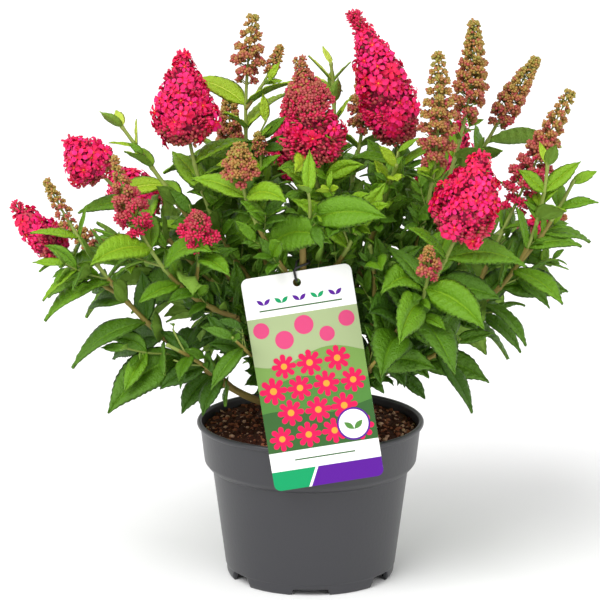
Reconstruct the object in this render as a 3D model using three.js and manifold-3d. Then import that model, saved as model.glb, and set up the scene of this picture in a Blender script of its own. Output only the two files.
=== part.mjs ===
// A dwarf butterfly bush in flower: a many-stemmed shrub in a round nursery pot of potting mix, with a
// hanging label. A short woody trunk forks just above the mix into boughs. Each bough carries flowering or
// leafy shoots, and these with their opposite leaves, side twigs and flower heads are one mass of foliage.
// Millimetres, +Z up. The origin is the middle of the pot's underside, and the label faces -Y.
import * as THREE from "three";
import { mergeVertices } from "three/addons/utils/BufferGeometryUtils.js";
import Module from "manifold-3d";

const wasm = await Module();
wasm.setup();

// ---- driving dimensions ----
const POT = {
  rimRadius: 85, // outside of the rolled lip
  height: 119,
  collarHeight: 32, // the wide band under the lip
  collarFootRadius: 79.2,
  bodyTopRadius: 73.3,
  bodyFootRadius: 63.7,
  footRadius: 61.4, // the ring that the pot stands on
  footHeight: 8.5,
  wall: 1.5,
  padRadius: 14, // middle of the floor, pressed down to the ground
  sides: 32,
};
// Openings in the foot ring, with their middles at these angles from the front.
const SLOT = { angles: [0, 120, 240], bottom: 29, top: 29, height: 4.6 };
const GAP = { angles: [57, 180, 303], bottom: 22.5, top: 18, height: 7.9 };
const DRAIN = { count: 6, radius: 4, ring: 40 }; // holes through the floor
const MIX = { edge: 113, crown: 116, flat: 22, gap: 0.35 }; // heights of the potting mix
const CLEAR = 0.3; // gap between solids that meet
const STRAIGHT = 0.5; // how far a limb's straight lengths may stray from its curve
const FINEST = 0.1; // detail that a solid may lose where its pieces join or it is cut

const TRUNK = {
  height: 21,
  footRadius: 17,
  waistRadius: 12.5,
  topRadius: 9,
  lobes: 5, // swellings round it where the boughs stand
  lobeDepth: 0.09,
  clearance: 1.035, // how much wider the boughs are cut away round it
};
const BOUGH = {
  rootRadius: 3.1,
  tipRadius: 2.4,
  sides: 6,
  sag: 0.07, // how far it bows down, as a share of its length
  beforeFork: 0.04, // share of its length from its end to its first shoot
  starts: [
    { reach: 8, above: 10 }, // of a low one: out from the trunk's middle, and above its foot
    { reach: 5.6, above: 17 }, // of an upright one
  ],
};
const STEM = { rootRadius: 2.4, tipRadius: 1.4 };
const TWIG = {
  rootRadius: 1.2,
  tipRadius: 1,
  share: 0.09, // of the leaves have a twig in their angle
  above: 3.2, // along the stem from the leaf
  length: 0.6, // of the leaf's
  leafSize: 0.62,
};
const CROWN = { left: -214, right: 211, bottom: 120 }; // how far leaves may reach
const LEAF = {
  oldLength: 80, // low down, near the root of its shoot
  youngLength: 41, // at the top, near the tip of its shoot
  lowHeight: 190,
  highHeight: 410,
  widthShare: 0.4,
  widest: 0.42, // share of the length where it is widest
  keel: 0.035, // depth under the midrib, as a share of the length
  internode: 21, // along the stem from pair to pair
  sizes: [1, 0.9, 0.8, 0.7, 0.6, 0.5], // tried in turn until one fits,
  lift: 0.9, // and the smaller, the more upright
  shortest: 20,
  leaderSize: 0.5, // size of the leaves at the fork of a bough
};
const LABEL = {
  width: 80,
  length: 157,
  thickness: 0.8,
  cornerRadius: 5,
  holeRadius: 3,
  holeDepth: 8, // from the top edge to the hole's middle
  hole: [-10, -75.5, 241], // the hole's middle
  roll: 9.2, // degrees that it hangs askew
  lean: 4.75, // degrees that its foot stands out, resting on the pot's lip
};
const TIE = {
  radius: 0.9,
  middle: [-5.8, -70.4, 254.5], // where the front bough's leader passes through it
  room: 10, // kept free of leaves round that
  sides: 4,
  steps: 26,
};

// Boughs: [name, start azimuth on the trunk (degrees from +X), tier (0 low and spreading, 1 upright), end].
// A bough's first part is a limb of its own, and the rest is the leader of its mass of foliage.
const BOUGHS = [
  ["left_low", 200, 0, [-77, -45, 169]],
  ["left_mid", 236, 0, [-54, -55, 210]],
  ["front", 266, 0, [-6, -74, 272]],
  ["right_front", 310, 0, [54, -60, 191]],
  ["right_low", 350, 0, [84, -20, 192]],
  ["back_right", 38, 0, [70, 55, 195]],
  ["back", 88, 0, [0, 75, 200]],
  ["back_left", 140, 0, [-55, 55, 195]],
  ["left_high", 190, 1, [-48, -5, 211]],
  ["mid_left", 120, 1, [-29, 20, 217]],
  ["mid_right", 55, 1, [31, 35, 209]],
  ["right_high", 345, 1, [61, 5, 205]],
  ["mid", 265, 1, [6, 0, 221]],
];

// Shoots: [name, the bough or shoot that it grows on, share of the way along that, point it passes half way,
//          tip, head, head length, head width, leaf size, turn of its first leaf pair in degrees].
const SHOOTS = [
  ["left_spike", "left_low", 1, [-140, -48, 228], [-192, -35, 308], "bud", 34, 16, 1, 10],
  ["left_bloom", "left_spike", 0.47, [-174, -35, 247], [-217, -20, 287], "bloom", 44, 30, 0.7, 60],
  ["left_foot", "left_low", 0.66, [-76, -66, 176], [-104, -80, 196], "leafy", 8, 6, 0.55, 30],
  ["left_red", "left_mid", 1, [-108, -62, 251], [-141, -62, 331], "half", 52, 36, 1, 30],
  ["left_small_red", "left_red", 0.26, [-80, -78, 266], [-82, -92, 296], "half", 36, 36, 0.8, 0],
  ["left_front_foot", "left_mid", 0.66, [-46, -76, 190], [-56, -98, 206], "leafy", 8, 6, 0.75, 60],
  ["left_ball", "left_high", 0.86, [-118, -6, 270], [-177, -12, 333], "bloom", 44, 44, 0.95, 45],
  ["left_leafy", "left_high", 1, [-95, 0, 279], [-141, 8, 342], "leafy", 10, 8, 0.9, 0],
  ["side_left_spike", "left_high", 0.68, [-118, 32, 220], [-188, 52, 256], "bud", 40, 20, 0.95, 0],
  ["left_big_bloom", "mid_left", 0.8, [-78, 0, 288], [-93, 5, 393], "bloom", 70, 54, 1, 20],
  ["tall_spike", "mid_left", 1, [-47, 22, 312], [-42, 25, 419], "bud", 48, 30, 1, 0],
  ["tall_side", "tall_spike", 0.68, [-32, 20, 374], [-22, 22, 397], "bud", 26, 14, 1, 0],
  ["small_back_bud", "tall_spike", 0.22, [-36, 8, 298], [-39, 0, 336], "bud", 20, 14, 0.7, 0],
  ["front_spike", "front", 0.72, [-42, -74, 291], [-50, -85, 342], "bud", 40, 32, 0.95, 0],
  ["front_leafy", "front", 1, [-1, -88, 290], [-2, -100, 312], "leafy", 10, 8, 1.1, 90],
  ["front_right_leafy", "front", 0.68, [22, -63, 256], [38, -90, 298], "leafy", 10, 8, 1.1, 50],
  ["centre_bloom", "mid", 1, [4, -22, 312], [-8, -35, 395], "half", 80, 62, 1, 0],
  ["centre_leafy", "mid", 0.84, [17, 25, 308], [15, 35, 382], "leafy", 12, 9, 0.9, 45],
  ["top_bloom", "mid_right", 1, [65, 22, 306], [31, 10, 422], "bloom", 104, 50, 1, 80],
  ["inner_right_leafy", "mid_right", 0.8, [50, -12, 275], [62, -40, 320], "leafy", 10, 8, 1.1, 20],
  ["right_spike_front", "right_high", 0.82, [86, -25, 292], [91, -35, 400], "bud", 86, 34, 1, 0],
  ["right_spike_tall", "right_high", 1, [107, 20, 314], [120, 25, 414], "bud", 84, 34, 1, 30],
  ["side_right_red", "right_high", 0.68, [124, 34, 226], [192, 52, 262], "half", 40, 32, 0.95, 40],
  ["right_spike_back", "back_right", 0.86, [122, 52, 300], [167, 45, 382], "bud", 76, 30, 1, 0],
  ["back_right_bloom", "back_right", 1, [94, 88, 258], [115, 118, 322], "bloom", 60, 46, 1, 0],
  ["back_right_leafy", "back_right", 0.68, [102, 95, 205], [150, 142, 232], "leafy", 12, 8, 1, 45],
  ["right_leafy", "right_low", 1, [148, -28, 238], [172, -30, 324], "leafy", 12, 9, 0.9, 30],
  ["right_leafy_side", "right_leafy", 0.55, [174, -22, 272], [192, -20, 305], "leafy", 8, 7, 0.85, 45],
  ["right_spike_low", "right_leafy", 0.2, [146, -10, 275], [190, 0, 367], "bud", 88, 36, 0.9, 20],
  ["right_foot", "right_low", 0.68, [84, -44, 176], [108, -62, 196], "leafy", 8, 7, 0.85, 70],
  ["right_front_bloom", "right_front", 1, [95, -85, 258], [121, -98, 341], "bloom", 70, 58, 1.05, 45],
  ["right_small_red", "right_front", 0.8, [76, -88, 222], [83, -108, 274], "half", 28, 26, 1, 10],
  ["right_inner_leafy", "right_front", 0.7, [46, -58, 228], [42, -74, 268], "leafy", 8, 7, 1.1, 70],
  ["right_front_foot", "right_front", 0.6, [42, -74, 176], [52, -98, 196], "leafy", 8, 7, 0.95, 0],
  ["back_spike", "back", 0.86, [34, 96, 290], [42, 98, 372], "bud", 70, 30, 1, 20],
  ["back_bloom", "back", 1, [-8, 112, 265], [-14, 140, 334], "bloom", 62, 48, 1, 0],
  ["back_leafy", "back", 0.68, [16, 130, 205], [24, 186, 236], "leafy", 12, 8, 1, 45],
  ["back_left_spike", "back_left", 0.84, [-58, 78, 275], [-62, 96, 350], "bud", 60, 28, 1, 0],
  ["back_left_bloom", "back_left", 1, [-108, 84, 240], [-152, 94, 292], "bloom", 52, 42, 0.95, 30],
  ["back_left_leafy", "back_left", 0.68, [-80, 104, 198], [-112, 152, 234], "leafy", 12, 8, 1, 60],
];

// ---- small helpers ----
const UP = new THREE.Vector3(0, 0, 1);
const DOWN = new THREE.Vector3(0, 0, -1);
const mix = (a, b, share) => a + (b - a) * share;
const clamp = (value, low, high) => Math.min(high, Math.max(low, value));
const point = ([x, y, z]) => new THREE.Vector3(x, y, z);
const radians = THREE.MathUtils.degToRad;

// A repeatable draw from 0 to 1 for any whole-number keys.
function draw(...keys) {
  let h = 2166136261;
  for (const key of keys) {
    h = Math.imul(h ^ (key + 101), 16777619);
    h ^= h >>> 15;
    h = Math.imul(h, 2246822519);
    h ^= h >>> 13;
  }
  return (h >>> 0) / 4294967296;
}

// The part of a vector that is square to a unit direction, made one long.
const squareTo = (vector, direction) =>
  vector.clone().addScaledVector(direction, -vector.dot(direction)).normalize();

// The curve from start to tip that passes through `via` half way.
function curveThrough(start, via, tip) {
  const middle = start.clone().add(tip).multiplyScalar(0.5);
  return new THREE.QuadraticBezierCurve3(start, via.clone().multiplyScalar(2).sub(middle), tip);
}

// The stretch of a curve from share `from` to share `to`, as a path of its own.
const stretch = (curve, from, to) => ({
  getPoint: (t) => curve.getPoint(mix(from, to, t)),
  getTangent: (t) => curve.getTangent(mix(from, to, t)),
  getLength: () => curve.getLength() * (to - from),
});

// ---- solids ----
function solidOf(geometry) {
  const bare = geometry.clone();
  bare.deleteAttribute("normal");
  bare.deleteAttribute("uv");
  const merged = mergeVertices(bare, 1e-4);
  const index = merged.index.array;
  const triVerts = [];
  for (let i = 0; i < index.length; i += 3) {
    const [a, b, c] = [index[i], index[i + 1], index[i + 2]];
    if (a !== b && b !== c && a !== c) triVerts.push(a, b, c);
  }
  return new wasm.Manifold(
    new wasm.Mesh({
      numProp: 3,
      vertProperties: new Float32Array(merged.attributes.position.array),
      triVerts: new Uint32Array(triVerts),
    }),
  );
}

function geometryOf(solid) {
  const { vertProperties, triVerts } = solid.getMesh();
  const geometry = new THREE.BufferGeometry();
  geometry.setAttribute("position", new THREE.BufferAttribute(vertProperties, 3));
  geometry.setIndex(new THREE.BufferAttribute(triVerts, 1));
  geometry.computeVertexNormals();
  return geometry;
}

// A closed solid along a path. Its rings lie at the `stations`, shares of the way, with half width and half
// depth from functions of that share, and `across` is the direction of the width, with a corner that way,
// or a flat.
function swept(path, across, sides, stations, halfWidth, halfDepth = halfWidth, flat = false) {
  const steps = stations.length - 1;
  const geometry = new THREE.CylinderGeometry(1, 1, 1, sides, steps, false, flat ? Math.PI / sides : 0);
  const place = geometry.attributes.position;
  for (let i = 0; i < place.count; i++) {
    const [x, y, z] = [place.getX(i), place.getY(i), place.getZ(i)];
    const share = stations[Math.round((y + 0.5) * steps)];
    const { wide, deep } = frameAt(path, across, share);
    const spot = path
      .getPoint(share)
      .addScaledVector(wide, x * halfWidth(share))
      .addScaledVector(deep, z * halfDepth(share));
    place.setXYZ(i, spot.x, spot.y, spot.z);
  }
  return solidOf(geometry);
}

// The directions of a path's width and depth at a share of its way, and the way along it.
function frameAt(path, across, share) {
  const along = path.getTangent(share);
  const wide = squareTo(across, along);
  return { along, wide, deep: wide.clone().cross(along) };
}

const evenly = (steps) => Array.from({ length: steps + 1 }, (_, i) => i / steps);

// How many straight lengths stand for a path, by how far it bows.
function stepsOf(path) {
  const bow = path.getPoint(0).add(path.getPoint(1)).multiplyScalar(0.5).distanceTo(path.getPoint(0.5));
  return Math.max(1, Math.ceil(Math.sqrt(bow / STRAIGHT)));
}

// A tapering limb along a path, with a flat towards `across`.
function limb(path, across, rootRadius, tipRadius, sides) {
  const radius = (t) => mix(rootRadius, tipRadius, t);
  return swept(path, across, sides, evenly(stepsOf(path)), radius, radius, true);
}

// ---- pot and potting mix ----
// The pot's wall between the floor and the lip, seen from outside and, moved in by the wall, from inside.
function wallProfile(inset) {
  const { height, rimRadius, collarFootRadius, bodyTopRadius, bodyFootRadius, footHeight } = POT;
  const shelf = height - POT.collarHeight;
  return [
    [bodyFootRadius - inset, footHeight],
    [bodyTopRadius - inset, shelf - 4.5 + inset],
    [bodyTopRadius + 3 - inset, shelf - 3 + inset],
    [collarFootRadius - inset, shelf + 0.8 + inset * 0.4],
    [rimRadius - 2.7 - inset, height - 4.5],
  ];
}

function lathe(profile) {
  const points = profile.map(([radius, z]) => new THREE.Vector2(radius, z));
  return new THREE.LatheGeometry(points, POT.sides).rotateX(Math.PI / 2);
}

function potSolid() {
  const { height, rimRadius, footRadius, footHeight, wall, padRadius, bodyFootRadius } = POT;
  const outside = [
    [0, 0],
    [padRadius, 0],
    [padRadius + 2, footHeight],
    [footRadius - 3.5, footHeight],
    [footRadius - 2.2, 0],
    [footRadius, 0],
    [footRadius + 1.4, 3],
    [bodyFootRadius - 0.6, footHeight - 0.6],
    ...wallProfile(0),
    [rimRadius - 0.8, height - 4],
    [rimRadius, height - 2.2],
    [rimRadius - 0.8, height - 0.5],
    [rimRadius - 2.4, height],
  ];
  const inside = [
    [rimRadius - 4, height - 1],
    ...wallProfile(wall).reverse().slice(0, 4),
    [bodyFootRadius - wall, footHeight + wall],
    [padRadius + 3, footHeight + wall],
    [padRadius + 0.6, wall],
    [0, wall],
  ];
  let pot = solidOf(lathe([...outside, ...inside]));
  for (const opening of [SLOT, GAP]) {
    for (const angle of opening.angles) {
      pot = pot.subtract(solidOf(footOpening(opening).rotateZ(radians(angle))));
    }
  }
  for (let i = 0; i < DRAIN.count; i++) {
    const hole = new THREE.CylinderGeometry(DRAIN.radius, DRAIN.radius, 12, 6).rotateX(Math.PI / 2);
    hole.translate(0, -DRAIN.ring, footHeight).rotateZ(radians((i + 0.5) * (360 / DRAIN.count)));
    pot = pot.subtract(solidOf(hole));
  }
  return pot;
}

// One opening at the front of the foot ring.
function footOpening({ bottom, top, height }) {
  const corners = [[-bottom / 2, -1], [bottom / 2, -1], [top / 2, height], [-top / 2, height]];
  const outline = new THREE.Shape(corners.map(([x, z]) => new THREE.Vector2(x, z)));
  const depth = 14;
  return new THREE.ExtrudeGeometry(outline, { depth, bevelEnabled: false })
    .rotateX(Math.PI / 2)
    .translate(0, -POT.footRadius + depth - 4, 0);
}

function mixSolid() {
  const { edge, crown, flat, gap } = MIX;
  const inset = POT.wall + gap;
  const walls = wallProfile(inset).slice(0, 4);
  const [topRadius, topHeight] = wallProfile(inset)[4];
  const [shelfRadius, shelfHeight] = walls[3];
  const rise = (edge - shelfHeight) / (topHeight - shelfHeight);
  const bottom = POT.footHeight + POT.wall + gap;
  return solidOf(
    lathe([
      [0, bottom],
      [POT.bodyFootRadius - inset, bottom],
      ...walls.slice(1),
      [mix(shelfRadius, topRadius, rise), edge],
      [58, mix(edge, crown, 0.6)],
      [flat, crown],
      [0, crown],
    ]),
  );
}

// ---- trunk and boughs ----
function trunkSolid() {
  const { height, footRadius, waistRadius, topRadius, lobes, lobeDepth } = TRUNK;
  const foot = MIX.crown + CLEAR;
  const geometry = new THREE.CylinderGeometry(1, 1, 1, 15, 4);
  const place = geometry.attributes.position;
  for (let i = 0; i < place.count; i++) {
    const share = place.getY(i) + 0.5;
    const angle = Math.atan2(place.getZ(i), place.getX(i));
    const across = Math.hypot(place.getX(i), place.getZ(i));
    const flare = (footRadius - waistRadius) * (1 - share) ** 3;
    const shoulder = (waistRadius - topRadius) * share ** 3;
    const lobe = 1 + lobeDepth * Math.cos(lobes * angle) * (1 - share * 0.6);
    const radius = (waistRadius + flare - shoulder) * lobe * across;
    place.setXYZ(i, radius * Math.cos(angle), -radius * Math.sin(angle), foot + share * height);
  }
  return solidOf(geometry);
}

const boughRadius = (share) => mix(BOUGH.rootRadius, BOUGH.tipRadius, share);

function boughCurve([, azimuth, tier, tip]) {
  const foot = MIX.crown + CLEAR;
  const turn = radians(azimuth);
  const { reach, above } = BOUGH.starts[tier];
  const start = point([reach * Math.cos(turn), reach * Math.sin(turn), foot + above]);
  const end = point(tip);
  const chord = end.clone().sub(start);
  const sag = squareTo(DOWN, chord.clone().normalize());
  const via = start.clone().addScaledVector(chord, 0.5).addScaledVector(sag, chord.length() * BOUGH.sag);
  return curveThrough(start, via, end);
}

// ---- leaves ----
// A leaf from `root`, leaving in direction `leaves` and drooping. `face` is where its upper side looks.
function leafAt(root, leaves, face, length, droop) {
  const elbow = root.clone().addScaledVector(leaves, length / 2);
  const end = leaves.clone().addScaledVector(DOWN, droop).normalize();
  const tip = elbow.clone().addScaledVector(end, length / 2);
  const path = new THREE.QuadraticBezierCurve3(root, elbow, tip);
  return { path, across: face.clone().cross(leaves).normalize(), length };
}

// Half the leaf's width at a share of its length.
function leafHalfWidth(length, share) {
  const bend = Math.log(0.5) / Math.log(LEAF.widest);
  return (length * LEAF.widthShare * Math.max(0, Math.sin(Math.PI * share ** bend)) ** 0.9) / 2;
}

// Six faces: a flat upper side, and a keel under the midrib.
function leafSolid({ path, across, length }) {
  const atWidest = (size) => (share) => (share === LEAF.widest ? size : 0);
  const halfWidth = atWidest((length * LEAF.widthShare) / 2 / Math.sin(Math.PI / 3));
  return swept(path, across, 3, [0, LEAF.widest, 1], halfWidth, atWidest((length * LEAF.keel) / 1.5));
}

// Points on a leaf that show whether it fits: its midrib and both edges.
function leafPoints({ path, across, length }) {
  const points = [];
  for (const share of [0.3, 0.5, 0.7, 0.85, 1]) {
    const spot = path.getPoint(share);
    const wide = squareTo(across, path.getTangent(share));
    const half = leafHalfWidth(length, share);
    points.push(spot);
    for (const side of [-1, 1]) points.push(spot.clone().addScaledVector(wide, side * half));
  }
  return points;
}

// ---- shoots ----
// Everything that the rule below needs to know of a shoot, worked out from its row.
function shootOf([name, on, at, via, tip, head, headLength, headWidth, size, turn], number, curves) {
  const curve = curveThrough(curves.get(on).getPoint(at), point(via), point(tip));
  const out = new THREE.Vector3(tip[0], tip[1], 0).normalize();
  const across = out.clone().applyAxisAngle(UP, radians(turn));
  const headStart = head === "leafy" ? 1 : 1 - headLength / curve.getLength();
  return { name, on, at, keys: [number], curve, out, across, head, headStart, headWidth, size, ...STEM };
}

// The part of a bough that its mass grows from.
function leaderOf(bough, end, number) {
  const curve = stretch(bough, end, 1);
  const across = UP.clone().cross(curve.getTangent(0.5));
  const radii = { rootRadius: boughRadius(end), tipRadius: boughRadius(1) };
  const size = LEAF.leaderSize;
  return { keys: [number, 77], curve, across, size, headStart: 1, isLeader: true, ...radii };
}

// How young a leaf is, from 0 at the foot of the bush to 1 at the tip of a shoot at its top.
const youth = (share, z) => {
  const high = clamp((z - LEAF.lowHeight) / (LEAF.highHeight - LEAF.lowHeight), 0, 1);
  return (share + high) / 2;
};

// Where the upper side of a leaf looks: between its stem, the sky and the nearer broad side of the bush.
function faceOf(spot, along, leaves, roll) {
  const broadside = point([clamp(spot.x / 400, -1, 1), clamp(spot.y / 35, -1, 1), 0]);
  const face = squareTo(along, leaves).multiplyScalar(0.4).addScaledVector(UP, 0.4);
  return squareTo(face.addScaledVector(broadside, 0.6), leaves).applyAxisAngle(leaves, roll);
}

// The seeded rule of growth along a stem: opposite pairs of leaves, each pair a quarter turn from the last,
// and in the angle of some leaves a twig that grows on by the same rule.
function* growth(stem) {
  const { keys, curve, across, size, headStart, isTwig } = stem;
  const leafy = headStart === 1 && !stem.isLeader;
  const internode = LEAF.internode * (isTwig ? 0.7 : 1);
  const pairs = Math.max(1, Math.round((curve.getLength() * headStart) / internode));
  for (let k = 0; k < pairs; k++) {
    const step = (k + (leafy ? 0.9 : 0.55) + 0.25 * (draw(...keys, k, 1) - 0.5)) / pairs;
    const share = mix(0.06, leafy ? 0.99 : headStart - 0.02, Math.min(step, 1));
    const spot = curve.getPoint(share);
    const { along, wide, deep } = frameAt(curve, across, share);
    for (const side of [0, 1]) {
      const pick = (what) => draw(...keys, k, side, what);
      const angle = (k * Math.PI) / 2 + side * Math.PI + 0.4 * (pick(2) - 0.5);
      const away = wide.clone().multiplyScalar(Math.cos(angle)).addScaledVector(deep, Math.sin(angle));
      const open = radians(mix(46, 68, pick(3)) * (leafy ? 1 - 0.25 * share ** 2 : 1));
      const leaves = along.clone().multiplyScalar(Math.cos(open)).addScaledVector(away, Math.sin(open));
      const face = faceOf(spot, along, leaves, pick(7) - 0.5);
      const age = youth(stem.isLeader ? 0 : share, spot.z);
      const grown = mix(LEAF.oldLength, LEAF.youngLength, age) * size;
      const length = grown * (leafy ? 1 - 0.5 * share ** 4 : 1) * mix(0.88, 1.12, pick(4));
      const droop = mix(1.5, 0.25, age) * mix(0.7, 1.2, pick(5)) * (leafy ? 1 - 0.7 * share ** 3 : 1);
      const root = spot.clone().addScaledVector(leaves, -stem.tipRadius / 2);
      yield { leaf: { root, along, leaves, face, length, droop } };
      if (!isTwig && share < 0.72 && pick(6) < TWIG.share) {
        yield { twig: twigOf(spot, along, away, grown * TWIG.length, [...keys, k, side], size) };
      }
    }
  }
}

// A twig that climbs beside its stem from just above a leaf.
function twigOf(spot, along, away, length, keys, size) {
  const root = spot.clone().addScaledVector(along, TWIG.above);
  const climb = along.clone().multiplyScalar(0.72).addScaledVector(away, 0.69);
  const middle = root.clone().addScaledVector(climb, length / 2);
  const tip = middle.clone().addScaledVector(climb.lerp(UP, 0.3).normalize(), length / 2);
  const curve = new THREE.QuadraticBezierCurve3(root, middle, tip);
  const across = along.clone().cross(away);
  return { keys, curve, across, size: size * TWIG.leafSize, headStart: 1, isTwig: true, ...TWIG };
}

// The outline of a flower head: a share of its half width at a share of its length from its foot.
const HEADS = {
  bloom: { waist: 0.84, tip: 0.3, outline: (u) => Math.min(1, 0.6 + 2.2 * u) * (1 - u ** 3.2) },
  half: { waist: 0.78, tip: 0.16, outline: (u) => Math.min(1, 0.65 + 2.2 * u) * (1 - u ** 1.25) },
  bud: { waist: 0.66, tip: 0.24, outline: (u) => Math.min(1, 0.6 + 2 * u) * (1 - 0.78 * u ** 1.4) },
};
const TIER = { spacing: 14, sides: 6 };

function headSolid(shoot) {
  const { waist, tip, outline } = HEADS[shoot.head];
  const tiers = Math.max(2, Math.round(((1 - shoot.headStart) * shoot.curve.getLength()) / TIER.spacing));
  const stations = evenly(tiers * 2);
  const radius = (u) => {
    const bulge = Math.round(u * tiers * 2) % 2 ? 1 : waist;
    return (shoot.headWidth / 2) * Math.max(outline(u) * bulge, tip * (u === 1 ? 0.6 : 1));
  };
  return swept(stretch(shoot.curve, shoot.headStart, 1), shoot.out, TIER.sides, stations, radius);
}

// ---- room ----
// The balls of a mass: its leader's and its shoots'.
const massBalls = ({ curve, end, shoots }) => [
  ...ballsOf(stretch(curve, end, 1), 6, () => BOUGH.tipRadius),
  ...shoots.flatMap((shoot) => shootBalls(shoot)),
];

// Each limb and flower head as a string of balls, so that the room between them can be measured.
function ballsOf(curve, count, radiusAt) {
  return evenly(count).map((t) => ({ centre: curve.getPoint(t), radius: radiusAt(t) }));
}

function shootBalls(shoot) {
  return ballsOf(shoot.curve, 24, (t) => {
    if (t <= shoot.headStart) return STEM.rootRadius;
    const u = (t - shoot.headStart) / (1 - shoot.headStart);
    return (shoot.headWidth / 2) * Math.max(HEADS[shoot.head].outline(u), HEADS[shoot.head].tip);
  });
}

const gapTo = (balls, spot) =>
  balls.reduce((least, { centre, radius }) => Math.min(least, centre.distanceTo(spot) - radius), Infinity);

const labelFrame = (() => {
  const frame = new THREE.Matrix4().makeRotationX(radians(90 - LABEL.lean));
  frame.premultiply(new THREE.Matrix4().makeRotationY(radians(-LABEL.roll)));
  return frame.setPosition(point(LABEL.hole));
})();
const toLabel = labelFrame.clone().invert();
const tieMiddle = point(TIE.middle);

// True where a leaf may be: off the pot, the mix, the label and its tie.
function isOpen(spot) {
  if (spot.distanceTo(tieMiddle) < TIE.room) return false;
  if (spot.z < POT.height + 3 && Math.hypot(spot.x, spot.y) < POT.rimRadius + 3) return false;
  if (spot.z < CROWN.bottom || spot.x < CROWN.left || spot.x > CROWN.right) return false;
  const near = spot.clone().applyMatrix4(toLabel);
  const beside = Math.abs(near.x) > LABEL.width / 2 + 3;
  return beside || near.y > LABEL.holeDepth + 4 || near.y < -LABEL.length || near.z < -4;
}

// The blade as triangles between its midrib and each edge.
function bladeTriangles(blade) {
  const rows = [0.12, LEAF.widest, 0.75, 1].map((share) => {
    const spot = blade.path.getPoint(share);
    const { wide } = frameAt(blade.path, blade.across, share);
    const half = leafHalfWidth(blade.length, share);
    return [spot.clone().addScaledVector(wide, -half), spot.clone().addScaledVector(wide, half)];
  });
  return rows.slice(1).flatMap(([left, right], i) => {
    const [pastLeft, pastRight] = rows[i];
    return [new THREE.Triangle(pastLeft, pastRight, left), new THREE.Triangle(pastRight, right, left)];
  });
}

// True where an edge of one triangle pierces the other.
function pierces(a, b) {
  const hit = new THREE.Vector3();
  const corners = [a.a, a.b, a.c];
  return corners.some((corner, i) => {
    const span = corners[(i + 1) % 3].clone().sub(corner);
    const reach = span.length();
    const met = new THREE.Ray(corner, span.normalize()).intersectTriangle(b.a, b.b, b.c, false, hit);
    return met !== null && hit.distanceTo(corner) < reach;
  });
}

const cross = (blade, other) =>
  blade.triangles.some((a) => other.triangles.some((b) => pierces(a, b) || pierces(b, a)));

// A leaf is made smaller until it keeps to its own mass's room and touches no limb, head or other leaf.
// One that never fits is left out.
function fitLeaf({ root, along, leaves, face, length, droop }, room) {
  if (!isOpen(root)) return null;
  for (const scale of LEAF.sizes) {
    if (length * scale < LEAF.shortest) return null;
    const lifted = leaves.clone().addScaledVector(along, (1 - scale) * LEAF.lift).normalize();
    const blade = leafAt(root, lifted, squareTo(face, lifted), length * scale, droop * scale);
    blade.triangles = bladeTriangles(blade);
    const fits = leafPoints(blade).every((spot) => isOpen(spot) && isOwn(spot, room, 0.4, 1.1));
    if (fits && !room.blades.some((other) => cross(blade, other))) return blade;
  }
  return null;
}

// True where a point is nearer this mass's stems than any other's, and off every limb and flower head.
function isOwn(spot, { own, heads, others, boughs }, margin, off) {
  const mine = gapTo(own, spot);
  return (
    others.every((balls) => gapTo(balls, spot) > Math.max(mine + margin, off)) &&
    heads.every((balls) => gapTo(balls, spot) > off) &&
    boughs.every((balls) => gapTo(balls, spot) > off)
  );
}

const fitsTwig = (curve, room) =>
  evenly(4).every((t) => isOpen(curve.getPoint(t)) && (t < 0.5 || isOwn(curve.getPoint(t), room, 2, 3)));

// ---- masses ----
// Adds a stem, its leaves, its twigs and their leaves to the mass's pieces.
function grow(stem, end, room, pieces) {
  pieces.push(limb(stretch(stem.curve, 0, end), stem.across, stem.rootRadius, stem.tipRadius, 4));
  for (const { leaf, twig } of growth(stem)) {
    if (leaf) {
      const blade = fitLeaf(leaf, room);
      if (!blade) continue;
      room.blades.push(blade);
      pieces.push(leafSolid(blade));
    } else if (fitsTwig(twig.curve, room)) {
      grow(twig, 1, room, pieces);
    }
  }
}

function massSolid(mass, others, boughs) {
  const { leader, shoots } = mass;
  const flowering = shoots.filter(({ headStart }) => headStart < 1);
  const heads = flowering.map((shoot) => shootBalls(shoot).slice(-6));
  const room = { own: massBalls(mass), heads, blades: [], others, boughs };
  const pieces = [];
  grow(leader, 1, room, pieces);
  for (const shoot of shoots) {
    grow(shoot, Math.min(1, shoot.headStart + 0.04), room, pieces);
    if (shoot.headStart < 1) pieces.push(headSolid(shoot));
  }
  const whole = wasm.Manifold.union(pieces).asOriginal().simplify(FINEST);
  return whole.decompose().sort((a, b) => b.volume() - a.volume())[0];
}

// ---- label and its tie ----
function labelSolid() {
  const { width, length, thickness, cornerRadius: r, holeRadius, holeDepth } = LABEL;
  const [left, right, top, bottom] = [-width / 2, width / 2, holeDepth, holeDepth - length];
  const outline = new THREE.Shape();
  outline.moveTo(left + r, bottom).lineTo(right - r, bottom);
  outline.absarc(right - r, bottom + r, r, -Math.PI / 2, 0);
  outline.absarc(right - r, top - r, r, 0, Math.PI / 2);
  outline.absarc(left + r, top - r, r, Math.PI / 2, Math.PI);
  outline.absarc(left + r, bottom + r, r, Math.PI, Math.PI * 1.5);
  const hole = new THREE.Path().absarc(0, 0, holeRadius, 0, Math.PI * 2, true);
  outline.holes.push(hole);
  const flat = { depth: thickness, bevelEnabled: false, curveSegments: 4 };
  const plate = new THREE.ExtrudeGeometry(outline, flat).translate(0, 0, -thickness / 2);
  return solidOf(plate.applyMatrix4(labelFrame));
}

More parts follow.
